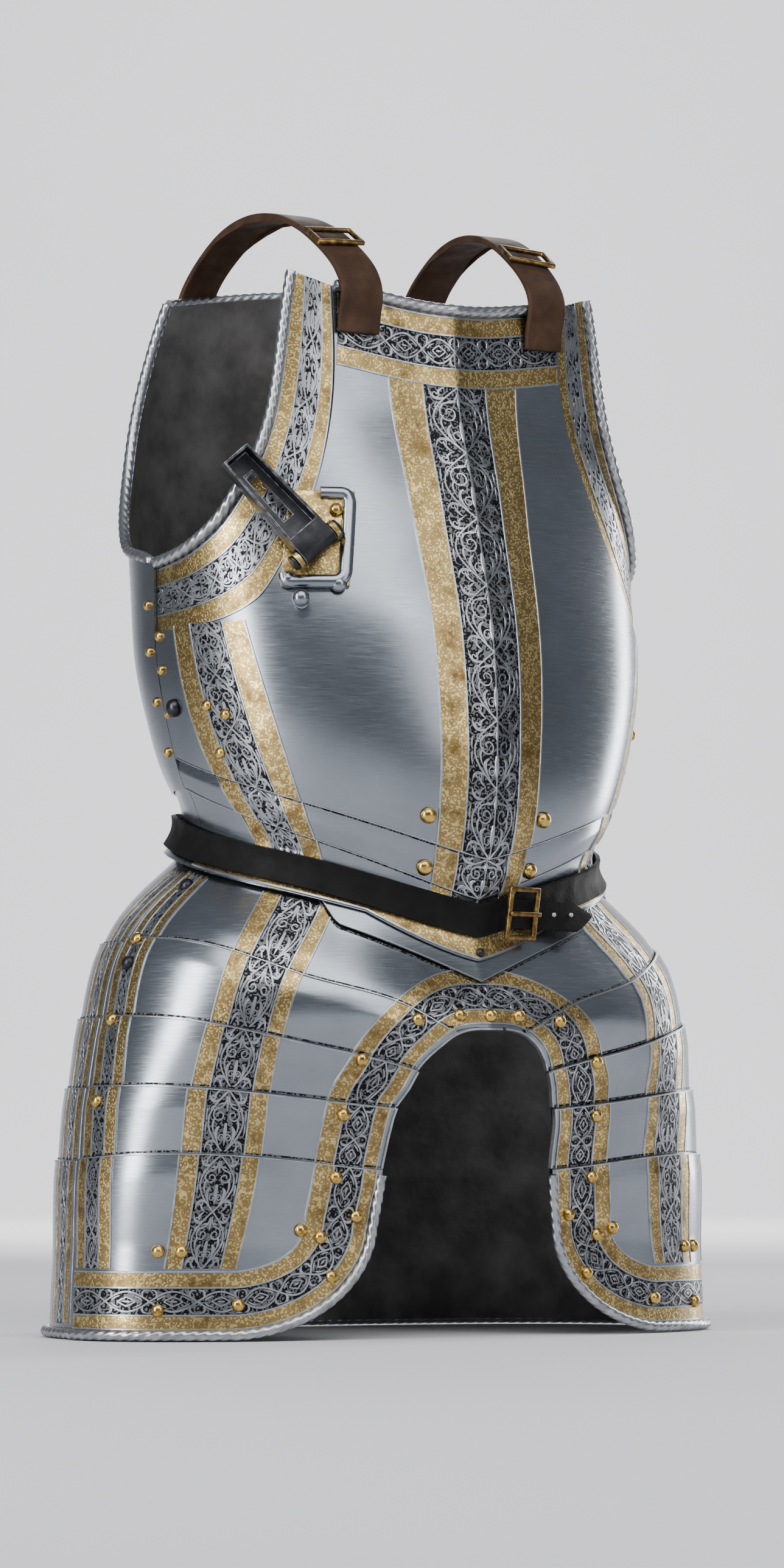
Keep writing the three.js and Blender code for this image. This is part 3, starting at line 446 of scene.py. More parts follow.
def rear_stations(index):
    lines = [float(lame_line(i, 90)) for i in range(4)]
    feet = [line - LAP_WIDTH for line in lines] + [HEM]

    def stations(angle):
        angle = np.asarray(angle, float)
        foot = np.full(angle.shape, feet[index])
        if index == 0:
            return hanging_stations(angle, foot, -2 * LAP)
        top = lines[index - 1]
        settled = lerp(top, feet[index], 0.5) if index == 4 else feet[index] + LAP_WIDTH + 1
        full = np.ones(angle.shape)
        return [
            (top * full, -LAP - LAP_EASE), ((top - LAP_WIDTH - 1) * full, -LAP - LAP_EASE),
            (settled * full, -2 * LAP), (foot, -2 * LAP),
        ]
    return stations


def down_stations(stations, angle, share):
    """Height and offset at a share of the way down a plate's face."""
    stops = stations(angle)
    heights = np.stack([np.broadcast_to(h, np.shape(angle)) for h, _ in stops])
    offsets = np.array([o for _, o in stops])
    runs = np.abs(np.diff(heights, axis=0))
    marks = np.concatenate([np.zeros((1,) + runs.shape[1:]), np.cumsum(runs, axis=0)])
    marks = marks / marks[-1]
    height = np.zeros(np.shape(angle))
    offset = np.zeros(np.shape(angle))
    for i in range(len(stops) - 1):
        part = np.clip((share - marks[i]) / np.maximum(marks[i + 1] - marks[i], 1e-9), 0, 1)
        inside = (share >= marks[i]) | (i == 0)
        height = np.where(inside, lerp(heights[i], heights[i + 1], part), height)
        offset = np.where(inside, lerp(offsets[i], offsets[i + 1], part), offset)
    return height, offset


def offset_on(stations):
    """A function giving a plate's outer offset at an angle and height."""
    def lift(angle, height):
        stops = stations(angle)
        offset = np.full(np.shape(angle), float(stops[0][1]))
        for (high, start), (low, end) in zip(stops, stops[1:]):
            part = np.clip((high - height) / np.maximum(high - low, 1e-6), 0, 1)
            offset = np.where(height <= high, lerp(start, end, part), offset)
        return offset
    return lift


# The frame's hinge gives the height of the waist below the shoulder mount
REST_ANGLE = -48.0
REST_LEVEL = 0.428 * TORSO
REST_LIFT = 10.6
BRACKET_FACE = 3.3
FOLD = next(joint for joint in frame["joints"] if joint["name"] == "lance_rest_fold")
HINGE = np.array(FOLD["pos_m"])
WAIST_LEVEL = HINGE[2] / MM - skin(REST_ANGLE, REST_LEVEL, REST_LIFT)[2]


def in_frame(points):
    """Millimetres from the waist turned into metres from the shoulder mount."""
    points = np.array(points, float)
    points[..., 2] += WAIST_LEVEL
    return points * MM


# Modelling helpers
def deselect():
    if bpy.context.object and bpy.context.object.mode != "OBJECT":
        bpy.ops.object.mode_set(mode="OBJECT")
    bpy.ops.object.select_all(action="DESELECT")


def select_only(piece):
    deselect()
    piece.select_set(True)
    bpy.context.view_layer.objects.active = piece


def apply_modifier(piece, kind, **settings):
    select_only(piece)
    modifier = piece.modifiers.new(kind.title(), kind)
    for key, value in settings.items():
        setattr(modifier, key, value)
    bpy.ops.object.modifier_apply(modifier=modifier.name)


def soften(piece, width, segments=3, **settings):
    """Rounds the sharp edges of a piece."""
    apply_modifier(piece, "BEVEL", width=width, segments=segments, limit_method="ANGLE", **settings)


def set_corners(piece, points):
    piece.data.vertices.foreach_set("co", np.asarray(points, float).reshape(-1))
    piece.data.update()


def corners(piece):
    flat = np.empty(len(piece.data.vertices) * 3)
    piece.data.vertices.foreach_get("co", flat)
    return flat.reshape(-1, 3)


def laid_grid(name, across, along, place):
    """A grid whose corners are laid on place(s, t): s runs left to right, t from the top down."""
    deselect()
    bpy.ops.mesh.primitive_grid_add(x_subdivisions=across, y_subdivisions=along, size=2)
    piece = bpy.context.object
    piece.name = name
    flat = corners(piece)
    set_corners(piece, in_frame(place((flat[:, 0] + 1) / 2, (1 - flat[:, 1]) / 2)))
    return piece


def finish_piece(piece, material, nodes=(), slot="polished_steel", body=BODY, angle=35):
    """Gives a piece its shading, material and body and hides the nodes that it stands for; the slot is not
    used.
    """
    select_only(piece)
    bpy.ops.object.shade_smooth_by_angle(angle=math.radians(angle))
    if material:
        piece.data.materials.clear()
        piece.data.materials.append(material)
    if nodes:
        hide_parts(*nodes)
    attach(piece, body)
    return piece


def wall(piece, thickness, **settings):
    apply_modifier(piece, "SOLIDIFY", thickness=thickness, offset=-1, **settings)


def plate(name, across, along, place, nodes=()):
    """A steel plate: a grid laid on the body, given its wall inward, dull on its inner face."""
    piece = laid_grid(name, across, along, place)
    piece.data.materials.append(steel_material())
    piece.data.materials.append(inside_material())
    wall(piece, sizes().plate, material_offset=1)
    return finish_piece(piece, None, nodes)


def mesh_from_parts(name, parts):
    """One mesh from many small closed parts, each a pair of corner and face arrays."""
    points = []
    faces = []
    base = 0
    for part_points, part_faces in parts:
        points.append(part_points)
        faces.append(np.asarray(part_faces) + base)
        base += len(part_points)
    points = in_frame(np.concatenate(points))
    faces = np.concatenate(faces)
    mesh = bpy.data.meshes.new(name)
    mesh.vertices.add(len(points))
    mesh.vertices.foreach_set("co", points.reshape(-1))
    mesh.loops.add(faces.size)
    mesh.loops.foreach_set("vertex_index", faces.reshape(-1).astype(np.int32))
    mesh.polygons.add(len(faces))
    mesh.polygons.foreach_set("loop_start", np.arange(0, faces.size, 4, dtype=np.int32))
    mesh.update(calc_edges=True)
    mesh.validate()
    piece = bpy.data.objects.new(name, mesh)
    bpy.context.collection.objects.link(piece)
    return piece


def tube_faces(rings, sides):
    """Quads round a swept ring, and quads folded over its two ends."""
    faces = []
    for i in range(rings - 1):
        here = i * sides
        after = here + sides
        for j in range(sides):
            k = (j + 1) % sides
            faces.append((here + j, here + k, after + k, after + j))
    for base, flip in ((0, False), ((rings - 1) * sides, True)):
        for j in range(sides // 2 - 1):
            cap = (base + j, base + sides - 1 - j, base + sides - 2 - j, base + j + 1)
            faces.append(cap[::-1] if flip else cap)
    return np.array(faces)


def path_frames(points, normals):
    """Unit directions along a path and to its left, seen from outside."""
    along = np.gradient(points, axis=0)
    along /= np.maximum(np.linalg.norm(along, axis=1, keepdims=True), 1e-9)
    side = np.cross(normals, along)
    side /= np.maximum(np.linalg.norm(side, axis=1, keepdims=True), 1e-9)
    return along, side


def ribbon(points, normals, widths, height, sink=0.25, crown=0.6):
    """A flat raised stroke along a path: its foot is sunk in the ground and its top is narrower."""
    _, side = path_frames(points, normals)
    half = np.asarray(widths)[:, None] / 2
    rings = np.stack([
        points + side * half - normals * sink,
        points - side * half - normals * sink,
        points - side * half * crown + normals * height,
        points + side * half * crown + normals * height,
    ], axis=1).reshape(-1, 3)
    return rings, tube_faces(len(points), 4)


def slab(place, lift_low, lift_high, across, along):
    """A thin closed sheet between two offsets over place(s, t, lift)."""
    s, t = np.meshgrid(np.linspace(0, 1, across + 1), np.linspace(0, 1, along + 1), indexing="ij")
    top = place(s, t, lift_high).reshape(-1, 3)
    low = place(s, t, lift_low).reshape(-1, 3)
    rows = along + 1
    count = len(top)
    faces = []
    for i in range(across):
        for j in range(along):
            a = i * rows + j
            b = a + rows
            faces.append((a, a + 1, b + 1, b))
            faces.append((count + a, count + b, count + b + 1, count + a + 1))
    for i in range(across):
        a = i * rows
        b = a + rows
        faces.append((a, b, count + b, count + a))
        faces.append((a + along, count + a + along, count + b + along, b + along))
    for j in range(along):
        a = j
        b = across * rows + j
        faces.append((a, count + a, count + a + 1, a + 1))
        faces.append((b, b + 1, count + b + 1, count + b))
    return np.concatenate([top, low]), np.array(faces)


# A rope rim: strands and corners round it, rings for each strand, depth of its grooves, their softness
ROPE_STRANDS = 4
ROPE_SIDES = 16
ROPE_RINGS = 7
ROPE_GROOVE = 0.32
ROPE_SOFTNESS = 0.6


def rope(angles, heights, offsets, diameter, pitch):
    """A roped rim: a round bar whose strands turn round it."""
    fine = skin(angles, heights, offsets)
    run = run_along(fine)
    steps = int(run[-1] / (pitch / ROPE_RINGS)) + 2
    marks = np.linspace(0, run[-1], steps)
    angle = np.interp(marks, run, angles)
    height = np.interp(marks, run, heights)
    offset = np.interp(marks, run, np.broadcast_to(offsets, np.shape(angles)))
    points = skin(angle, height, offset)
    normals = body_normal(angle, height)
    along, side = path_frames(points, normals)
    up = np.cross(along, side)
    turn = 2 * np.pi * np.arange(ROPE_SIDES) / ROPE_SIDES
    twist = 2 * np.pi * marks / (pitch * ROPE_STRANDS)
    lobes = np.abs(np.sin(ROPE_STRANDS * (turn[None, :] - twist[:, None]) / 2))
    radius = diameter / 2 * (0.68 + ROPE_GROOVE * lobes ** ROPE_SOFTNESS)
    circle = np.cos(turn)[None, :, None] * up[:, None, :] + np.sin(turn)[None, :, None] * side[:, None, :]
    rings = points[:, None, :] + circle * radius[:, :, None]
    return rings.reshape(-1, 3), tube_faces(steps, ROPE_SIDES)[:, ::-1]


# Materials
def add_node(tree, kind, settings=None, links=None):
    """Adds one node with its settings and its links, input name or number to output socket."""
    node = tree.nodes.new(kind)
    for key, value in (settings or {}).items():
        if isinstance(key, int) or key in node.inputs.keys():
            node.inputs[key].default_value = value
        else:
            setattr(node, key, value)
    for key, socket in (links or {}).items():
        tree.links.new(node.inputs[key], socket)
    return node


def new_material(name, metallic=0.0, roughness=0.5, specular=0.5):
    """A material with its output, object coordinates and a shader with these uniform values."""
    material = bpy.data.materials.new(name)
    material.use_nodes = True
    tree = material.node_tree
    tree.nodes.clear()
    place = add_node(tree, "ShaderNodeTexCoord").outputs["Object"]
    shader = add_node(tree, "ShaderNodeBsdfPrincipled", {
        "Metallic": metallic, "Roughness": roughness, "Specular IOR Level": specular})
    add_node(tree, "ShaderNodeOutputMaterial", links={"Surface": shader.outputs[0]})
    return material, tree, place, shader


def rgba(colour, gain=1.0):
    return (*[min(1.0, c * gain) for c in colour], 1.0)


def noise(tree, place, size_mm, detail=4.0, stretch=(1, 1, 1), roughness=0.55):
    """Noise whose features are about size_mm, drawn out along the axes of stretch."""
    scaled = add_node(tree, "ShaderNodeMapping", {"Scale": [1 / s for s in stretch]}, {"Vector": place})
    node = add_node(tree, "ShaderNodeTexNoise", {
        "Scale": 1 / (size_mm * MM), "Detail": detail, "Roughness": roughness},
        {"Vector": scaled.outputs[0]})
    return node.outputs[0]


def noise_colour(tree, place, size_mm):
    return add_node(tree, "ShaderNodeTexNoise", {"Scale": 1 / (size_mm * MM), "Detail": 1.0},
                    {"Vector": place}).outputs["Color"]


def ramp(tree, factor, stops):
    """A colour ramp through stops of place and colour or grey."""
    node = add_node(tree, "ShaderNodeValToRGB", links={"Fac": factor})
    band = node.color_ramp
    while len(band.elements) < len(stops):
        band.elements.new(0.5)
    for element, (place, colour) in zip(band.elements, stops):
        element.position = place
        element.color = colour if isinstance(colour, tuple) else (colour, colour, colour, 1.0)
    return node.outputs[0]


def drive(tree, shader, name, factor, stops):
    """Sets one socket of the shader from a ramp over a pattern."""
    tree.links.new(shader.inputs[name], ramp(tree, factor, stops))


def bump(tree, shader, height, depth_mm, normal=None):
    links = {"Height": height}
    if normal:
        links["Normal"] = normal
    node = add_node(tree, "ShaderNodeBump", {"Strength": 1.0, "Distance": depth_mm * MM}, links)
    tree.links.new(shader.inputs["Normal"], node.outputs[0])
    return node.outputs[0]


def made_once(build):
    """Keeps the material that a function built the first time."""
    kept = {}

    def get():
        if "material" not in kept:
            kept["material"] = build()
        return kept["material"]
    return get


def curls(tree, place, size_mm, turns, low=0.0):
    """Rings bent into tendrils about size_mm across, from low in the grooves to 1 on the lines."""
    warp = noise_colour(tree, place, size_mm * 1.4)
    bent = add_node(tree, "ShaderNodeMix", {"data_type": "VECTOR", "Factor": size_mm * MM * 0.9})
    tree.links.new(bent.inputs[4], place)
    tree.links.new(bent.inputs[5], warp)
    scale = {"Scale": 1 / (size_mm * MM)}
    reach = add_node(tree, "ShaderNodeTexVoronoi", scale, {"Vector": bent.outputs[1]})
    rings = {"operation": "MULTIPLY", 1: 2 * math.pi * turns}
    phase = add_node(tree, "ShaderNodeMath", rings, {0: reach.outputs[0]})
    wave = add_node(tree, "ShaderNodeMath", {"operation": "SINE"}, {0: phase.outputs[0]})
    return ramp(tree, wave.outputs[0], [(0.0, low), (0.45, 1.0)])


@made_once
def steel_material():
    # Hammered mild steel, planished and polished crosswise with emery: cool grey, hairlines round the body
    # and a faint cloudiness where oil has dried
    material, tree, place, shader = new_material("planished_polished_steel", metallic=1.0)
    steel = colours().steel
    cloud = noise(tree, place, 60, 3)
    hairs = noise(tree, place, 0.55, 4, (24, 24, 1))
    drive(tree, shader, "Base Color", cloud, [
        (0.35, rgba(steel, 0.86)), (0.7, rgba(steel, 1.06))])
    drive(tree, shader, "Roughness", hairs, [(0.3, 0.20), (0.7, 0.29)])
    first = bump(tree, shader, noise(tree, place, 40, 2), 0.10)
    bump(tree, shader, hairs, 0.0045, first)
    return material


@made_once
def inside_material():
    # Inner faces as they left the hammer: dull, darkened by oil and faintly dimpled
    material, tree, place, shader = new_material("hammered_inner_steel", metallic=0.9, roughness=0.52)
    inside = colours().inside
    drive(tree, shader, "Base Color", noise(tree, place, 30, 5), [
        (0.35, rgba(inside, 0.6)), (0.65, rgba(inside, 1.15))])
    bump(tree, shader, noise(tree, place, 9, 2), 0.35)
    return material


@made_once
def bright_material():
    # Burnished steel of the fillets, rims and turned edges: rubbed bright against the dark ground
    # Its light steel is also laid along the laps' edges as painted highlight of the lit edge.
    material, tree, place, shader = new_material("burnished_steel_and_lap_highlight", metallic=1.0)
    wear = noise(tree, place, 9, 4)
    bright = colours().bright
    drive(tree, shader, "Base Color", wear, [
        (0.30, rgba(bright, 0.60)), (0.52, rgba(bright, 0.9)), (0.75, rgba(bright, 1.12))])
    drive(tree, shader, "Roughness", wear, [(0.3, 0.40), (0.7, 0.26)])
    bump(tree, shader, noise(tree, place, 0.9, 2), 0.02)
    return material


@made_once
def leaf_material():
    # Steel left standing between the etched grounds: grey with lampblack, rubbed a little on its top
    material, tree, place, shader = new_material("etched_leaf_steel", metallic=1.0, roughness=0.35)
    leaf = colours().leaf
    drive(tree, shader, "Base Color", noise(tree, place, 16, 4), [
        (0.30, rgba(leaf, 0.50)), (0.55, rgba(leaf, 0.85)), (0.78, rgba(leaf, 1.25))])
    return material


@made_once
def ground_and_lap_shadow_material():
    # Ground bitten by acid and blackened with oil, with fine tendrils left standing between the leaves.
    # The real tendrils are 0.3 mm wide and are drawn about twice as coarse so that they show.
    # The same dark material is also laid in strips beside the laps' edges as painted shadow.
    material, tree, place, shader = new_material("blackened_ground_and_lap_shadow", metallic=0.9, roughness=0.44)
    ground = colours().ground
    tendril = curls(tree, place, 3.4, 1.9)
    mixed = add_node(tree, "ShaderNodeMix", {"data_type": "RGBA"})
    tree.links.new(mixed.inputs[0], tendril)
    mixed.inputs[6].default_value = rgba(ground)
    mixed.inputs[7].default_value = rgba(colours().bright, 0.30)
    tree.links.new(shader.inputs["Base Color"], mixed.outputs[2])
    bump(tree, shader, tendril, 0.10)
    return material


@made_once
def gilt_material():
    # Fire gilding over etched steel: mottled gold and brown, with fine scrolls drawn as darker lines.
    # The real lines are 0.2 mm wide and are drawn about twice as coarse so that they show.
    material, tree, place, shader = new_material("worn_fire_gilding", metallic=1.0)
    gold = colours().gold
    worn = colours().gold_worn
    mottle = noise(tree, place, 11, 7, roughness=0.62)
    tint = ramp(tree, mottle, [
        (0.31, rgba(worn, 0.7)), (0.43, rgba(gold, 0.62)),
        (0.56, rgba(gold, 0.95)), (0.78, rgba(gold, 1.2))])
    line = curls(tree, place, 2.6, 1.6, 0.30)
    etched = add_node(tree, "ShaderNodeMix", {"data_type": "RGBA"})
    tree.links.new(etched.inputs[0], line)
    etched.inputs[6].default_value = rgba(worn, 0.75)
    tree.links.new(etched.inputs[7], tint)
    tree.links.new(shader.inputs["Base Color"], etched.outputs[2])
    drive(tree, shader, "Roughness", mottle, [(0.35, 0.40), (0.7, 0.25)])
    bump(tree, shader, line, 0.06)
    return material


@made_once
def rivet_material():
    # Gilt rivet heads, rubbed bright on the crown and brown with old oil at the foot
    material, tree, place, shader = new_material("gilt_rivet_heads", metallic=1.0, roughness=0.24)
    gold = colours().rivet
    wear = noise(tree, place, 3, 3)
    drive(tree, shader, "Base Color", wear, [
        (0.32, rgba(colours().gold_worn)), (0.5, rgba(gold)), (0.75, rgba(gold, 1.2))])
    bump(tree, shader, wear, 0.10)
    return material


@made_once
def brass_material():
    # Gilt buckles browned by years in the leather, bright only on their corners
    material, tree, place, shader = new_material("browned_buckle_gilding", metallic=1.0, roughness=0.34)
    worn = colours().gold_worn
    drive(tree, shader, "Base Color", noise(tree, place, 4, 4), [
        (0.32, rgba(worn, 0.45)), (0.55, rgba(worn, 1.0)), (0.75, rgba(colours().rivet, 0.9))])
    return material


@made_once
def iron_material():
    # Dark iron of the lance rest, oiled and handled: almost black with a soft sheen and brown stains
    material, tree, place, shader = new_material("oiled_dark_iron", metallic=0.9)
    iron = colours().iron
    stain = noise(tree, place, 11, 5)
    drive(tree, shader, "Base Color", stain, [
        (0.3, rgba(iron, 0.55)), (0.6, rgba(iron)), (0.8, rgba(iron, 2.4))])
    drive(tree, shader, "Roughness", stain, [(0.3, 0.48), (0.75, 0.26)])
    bump(tree, shader, noise(tree, place, 2.2, 4), 0.08)
    return material


@made_once
def worn_iron_material():
    # Corners of the lance rest arm, rubbed through the oil to grey steel
    material, tree, place, shader = new_material("rubbed_iron_corners", metallic=1.0, roughness=0.34)
    drive(tree, shader, "Base Color", noise(tree, place, 5, 4), [
        (0.38, rgba(colours().iron)), (0.68, rgba(colours().bright, 0.42))])
    return material


def leather(name, colour, grain_mm):
    """Vegetable tanned strap leather: pebbled grain, fine creases and a rubbed face."""
    material, tree, place, shader = new_material(name, specular=0.15)
    rub = noise(tree, place, 16, 5)
    drive(tree, shader, "Base Color", rub, [
        (0.3, rgba(colour, 0.6)), (0.55, rgba(colour)), (0.8, rgba(colour, 1.5))])
    drive(tree, shader, "Roughness", rub, [(0.35, 0.72), (0.75, 0.52)])
    grain = add_node(tree, "ShaderNodeTexVoronoi", {
        "feature": "SMOOTH_F1", "Scale": 1 / (grain_mm * MM)}, {"Vector": place}).outputs[0]
    first = bump(tree, shader, grain, 0.12)
    bump(tree, shader, noise(tree, place, 6, 6, roughness=0.7), 0.35, first)
    return material


@made_once
def belt_leather():
    # Blackened belt leather, dry and creased where it bends round the waist
    return leather("blackened_belt_leather", colours().belt, 0.8)


@made_once
def strap_leather():
    # Brown harness leather of the shoulder straps, darkened by handling
    return leather("brown_harness_leather", colours().strap, 0.9)


@made_once
def stage_material():
    # Pale matt paper sweep of a photographer's studio
    material, tree, place, shader = new_material("pale_paper_sweep", roughness=0.9, specular=0.1)
    drive(tree, shader, "Base Color", noise(tree, place, 900, 2), [
        (0.2, rgba(colours().stage, 0.97)), (0.8, rgba(colours().stage, 1.02))])
    return material


# Plates of the torso
def row_place(rows, centre_angle=0.0):
    """Lays s and t on a table of rows, t 0 at the neck, and bends each row from its centre to its edge."""
    count = len(rows)
    order = np.arange(count)
    centre_at = natural_curve(order, rows[:, 0])
    angle_at = natural_curve(order, rows[:, 1])
    height_at = natural_curve(order, rows[:, 2])

    def place(s, t):
        row = (1 - t) * (count - 1)
        share = 2 * s - 1
        bend = lerp(1.15, 2, row / (count - 1))
        edge = angle_at(row)
        if centre_angle:
            angle = centre_angle + share * np.clip(180 - edge, 0, SIDE_EDGE)
        else:
            angle = share * np.minimum(edge, SIDE_EDGE)
        height = lerp(centre_at(row), height_at(row), np.abs(share) ** bend) * TORSO
        return angle, height
    return place


breast_place = row_place(BREAST_ROWS)
back_place = row_place(BACK_ROWS, 180.0)


def gusset_place(side):
    """Lays s from the armhole's rope inward and t from the shoulder down to the armpit."""
    rows = BREAST_ROWS[ARMPIT_ROW:]
    order = np.arange(len(rows))
    curves = [natural_curve(order, rows[:, column]) for column in (1, 2, 3, 4)]

    def place(s, t):
        row = (1 - t) * (len(rows) - 1)
        edge_angle, edge_height, rope_angle, rope_height = [curve(row) for curve in curves]
        angle = lerp(np.minimum(rope_angle, SIDE_EDGE), np.minimum(edge_angle, SIDE_EDGE), s)
        return side * angle, lerp(rope_height, edge_height, s) * TORSO
    return place


GUSSET_OFFSET = -2.35
# A gusset runs on under the breastplate by this share of its width
GUSSET_UNDERLAP = 1.24


def ring_plate(name, stations, low_angle, high_angle, across, along, nodes):
    """A plate round part of the body whose stations give its heights and offsets."""
    def place(s, t):
        angle = lerp(low_angle, high_angle, s)
        height, offset = down_stations(stations, angle, t)
        return skin(angle, height, offset)
    return plate(name, across, along, place, nodes)


def tasset_place(index, side):
    """Lays s from the arch to the side edge of a tasset lame and t down it: angle, height, offset."""
    start = meet_arch(index)
    stations = tasset_stations(index)

    def place(s, t):
        s = s if side > 0 else 1 - s
        spread = s ** 1.5 if index == 3 else s
        nominal = lerp(start, FRONT_EDGE, spread)
        angle = nominal
        for _ in range(3):
            height, offset = down_stations(stations, angle, t)
            angle = lerp(arch_angle(height), FRONT_EDGE, spread)
        return side * angle, height, offset
    return place


class CUIRASS_OT_torso(bpy.types.Operator):
    """Models the breastplate, the arm gussets and the backplate"""
    bl_idname = "cuirass.torso"
    bl_label = "Torso Plates"

    def execute(self, context):
        plate("breastplate", 150, 150, lambda s, t: skin(*breast_place(s, t)), ["breast_plate"])
        plate("backplate", 120, 100, lambda s, t: skin(*back_place(s, t)), ["back_plate"])
        for label, side in SIDES:
            lay = gusset_place(side)

            def place(s, t):
                share = (s if side < 0 else 1 - s) * GUSSET_UNDERLAP
                return skin(*lay(share, t), GUSSET_OFFSET)
            plate(f"{label}_gusset", 24, 90, place, [f"{label}_arm_gusset"])
        return {"FINISHED"}


class CUIRASS_OT_waist(bpy.types.Operator):
    """Models the waist lame, the flanged waist plates and the two fauld lames"""
    bl_idname = "cuirass.waist"
    bl_label = "Waist and Fauld"

    def execute(self, context):
        ring_plate("waist_lame_plate", waist_lame_stations, -SIDE_EDGE, SIDE_EDGE, 140, 24, ["waist_lame"])
        ring_plate("flanged_waist", flange_stations, -SIDE_EDGE, SIDE_EDGE, 140, 36, ["waist_plate"])
        ring_plate("rear_flanged_waist", flange_stations, 90.1, 269.9, 120, 36, ["back_waist_plate"])
        ring_plate("fauld_upper", fauld_1_stations, -SIDE_EDGE, SIDE_EDGE, 140, 24, ["fauld_lame_1"])
        ring_plate("fauld_arch", fauld_2_stations, -FRONT_EDGE, FRONT_EDGE, 160, 30, ["fauld_lame_2"])
        return {"FINISHED"}


class CUIRASS_OT_skirt(bpy.types.Operator):
    """Models the tasset lames on each thigh and the lames of the rear skirt"""
    bl_idname = "cuirass.skirt"
    bl_label = "Tassets and Rear Skirt"

    def execute(self, context):
        for label, side in SIDES:
            for index in range(4):
                lay = tasset_place(index, side)
                plate(f"{label}_tasset_{index + 1}", 70, 30, lambda s, t: skin(*lay(s, t)),
                      [f"{label}_tasset_lame_{index + 1}"])
        for index in range(5):
            ring_plate(f"rear_skirt_{index + 1}", rear_stations(index), 85, 275, 130, 20,
                       [f"rear_skirt_lame_{index + 1}"])
        return {"FINISHED"}


# Etched and gilt bands. A band lays s across itself and t along itself on one plate.
class Band:
    """A strip of a plate: lay(s, t) gives angle and height, lift(angle, height) the plate's offset."""

    def __init__(self, lay, lift, width, length):
        self.lay = lay
        self.lift = lift
        self.width = width
        self.length = length

    def at(self, s, t, rise=0.0):
        s, t = np.broadcast_arrays(np.asarray(s, float), np.asarray(t, float))
        angle, height = self.lay(s, t)
        return skin(angle, height, self.lift(angle, height) + rise)

    def normal(self, s, t):
        angle, height = self.lay(np.asarray(s, float), np.asarray(t, float))
        return body_normal(angle, height)

    def part(self, low, high):
        """The strip between two shares of this band's width."""
        return Band(lambda s, t: self.lay(lerp(low, high, s), t), self.lift,
                    self.width * abs(high - low), self.length)


def measured(lay, lift):
    """A band with its width and length measured on the plate."""
    band = Band(lay, lift, 1.0, 1.0)
    marks = np.linspace(0, 1, 40)
    middle = band.at(0.5, marks)
    band.length = float(np.linalg.norm(np.diff(middle, axis=0), axis=1).sum())
    across = band.at(marks, 0.5)
    band.width = float(np.linalg.norm(np.diff(across, axis=0), axis=1).sum())
    return band


GOLD_RISE = 0.35
GROUND_RISE = 0.12
LEAF_RISE = 0.42
FILLET_RISE = 0.75
SINK = -0.45


def strip_slab(band, rise):
    along = max(2, int(band.length / 3))
    across = max(2, int(band.width / 2.5))
    return slab(band.at, SINK, rise, across, along)


def line_along(band, s, width, rise=FILLET_RISE):
    """A fillet along a band at one share of its width."""
    t = np.linspace(0, 1, max(3, int(band.length / 2.2)))
    points = band.at(s, t)
    return ribbon(points, band.normal(np.full(t.shape, s), t), np.full(t.shape, width), rise, 0.4, 0.5)


def bezier(points, count=12):
    """Points on a Bezier curve through two end points and one or two handles."""
    t = np.linspace(0, 1, count)[:, None]
    points = [np.array(p, float) for p in points]
    while len(points) > 1:
        points = [lerp(a, b, t) for a, b in zip(points, points[1:])]
    return points[0]


def leaf_width(count, widest, start=0.35):
    t = np.linspace(0, 1, count)
    return widest * np.maximum(0.16, np.sin(np.pi * (start * 0.5 + (1 - start * 0.5) * t)) ** 0.8)


def volute(centre, radius, start, turns, half, length, count=20):
    """A spiral that stays round in millimetres; the centre is in shares of half width and length."""
    t = np.linspace(0, 1, count)
    turn = math.radians(start) + 2 * np.pi * turns * t
    reach = radius * (1 - 0.80 * t)
    across = centre[0] + reach * np.cos(turn) / half
    return np.stack([across, centre[1] + reach * np.sin(turn) / length], axis=1)


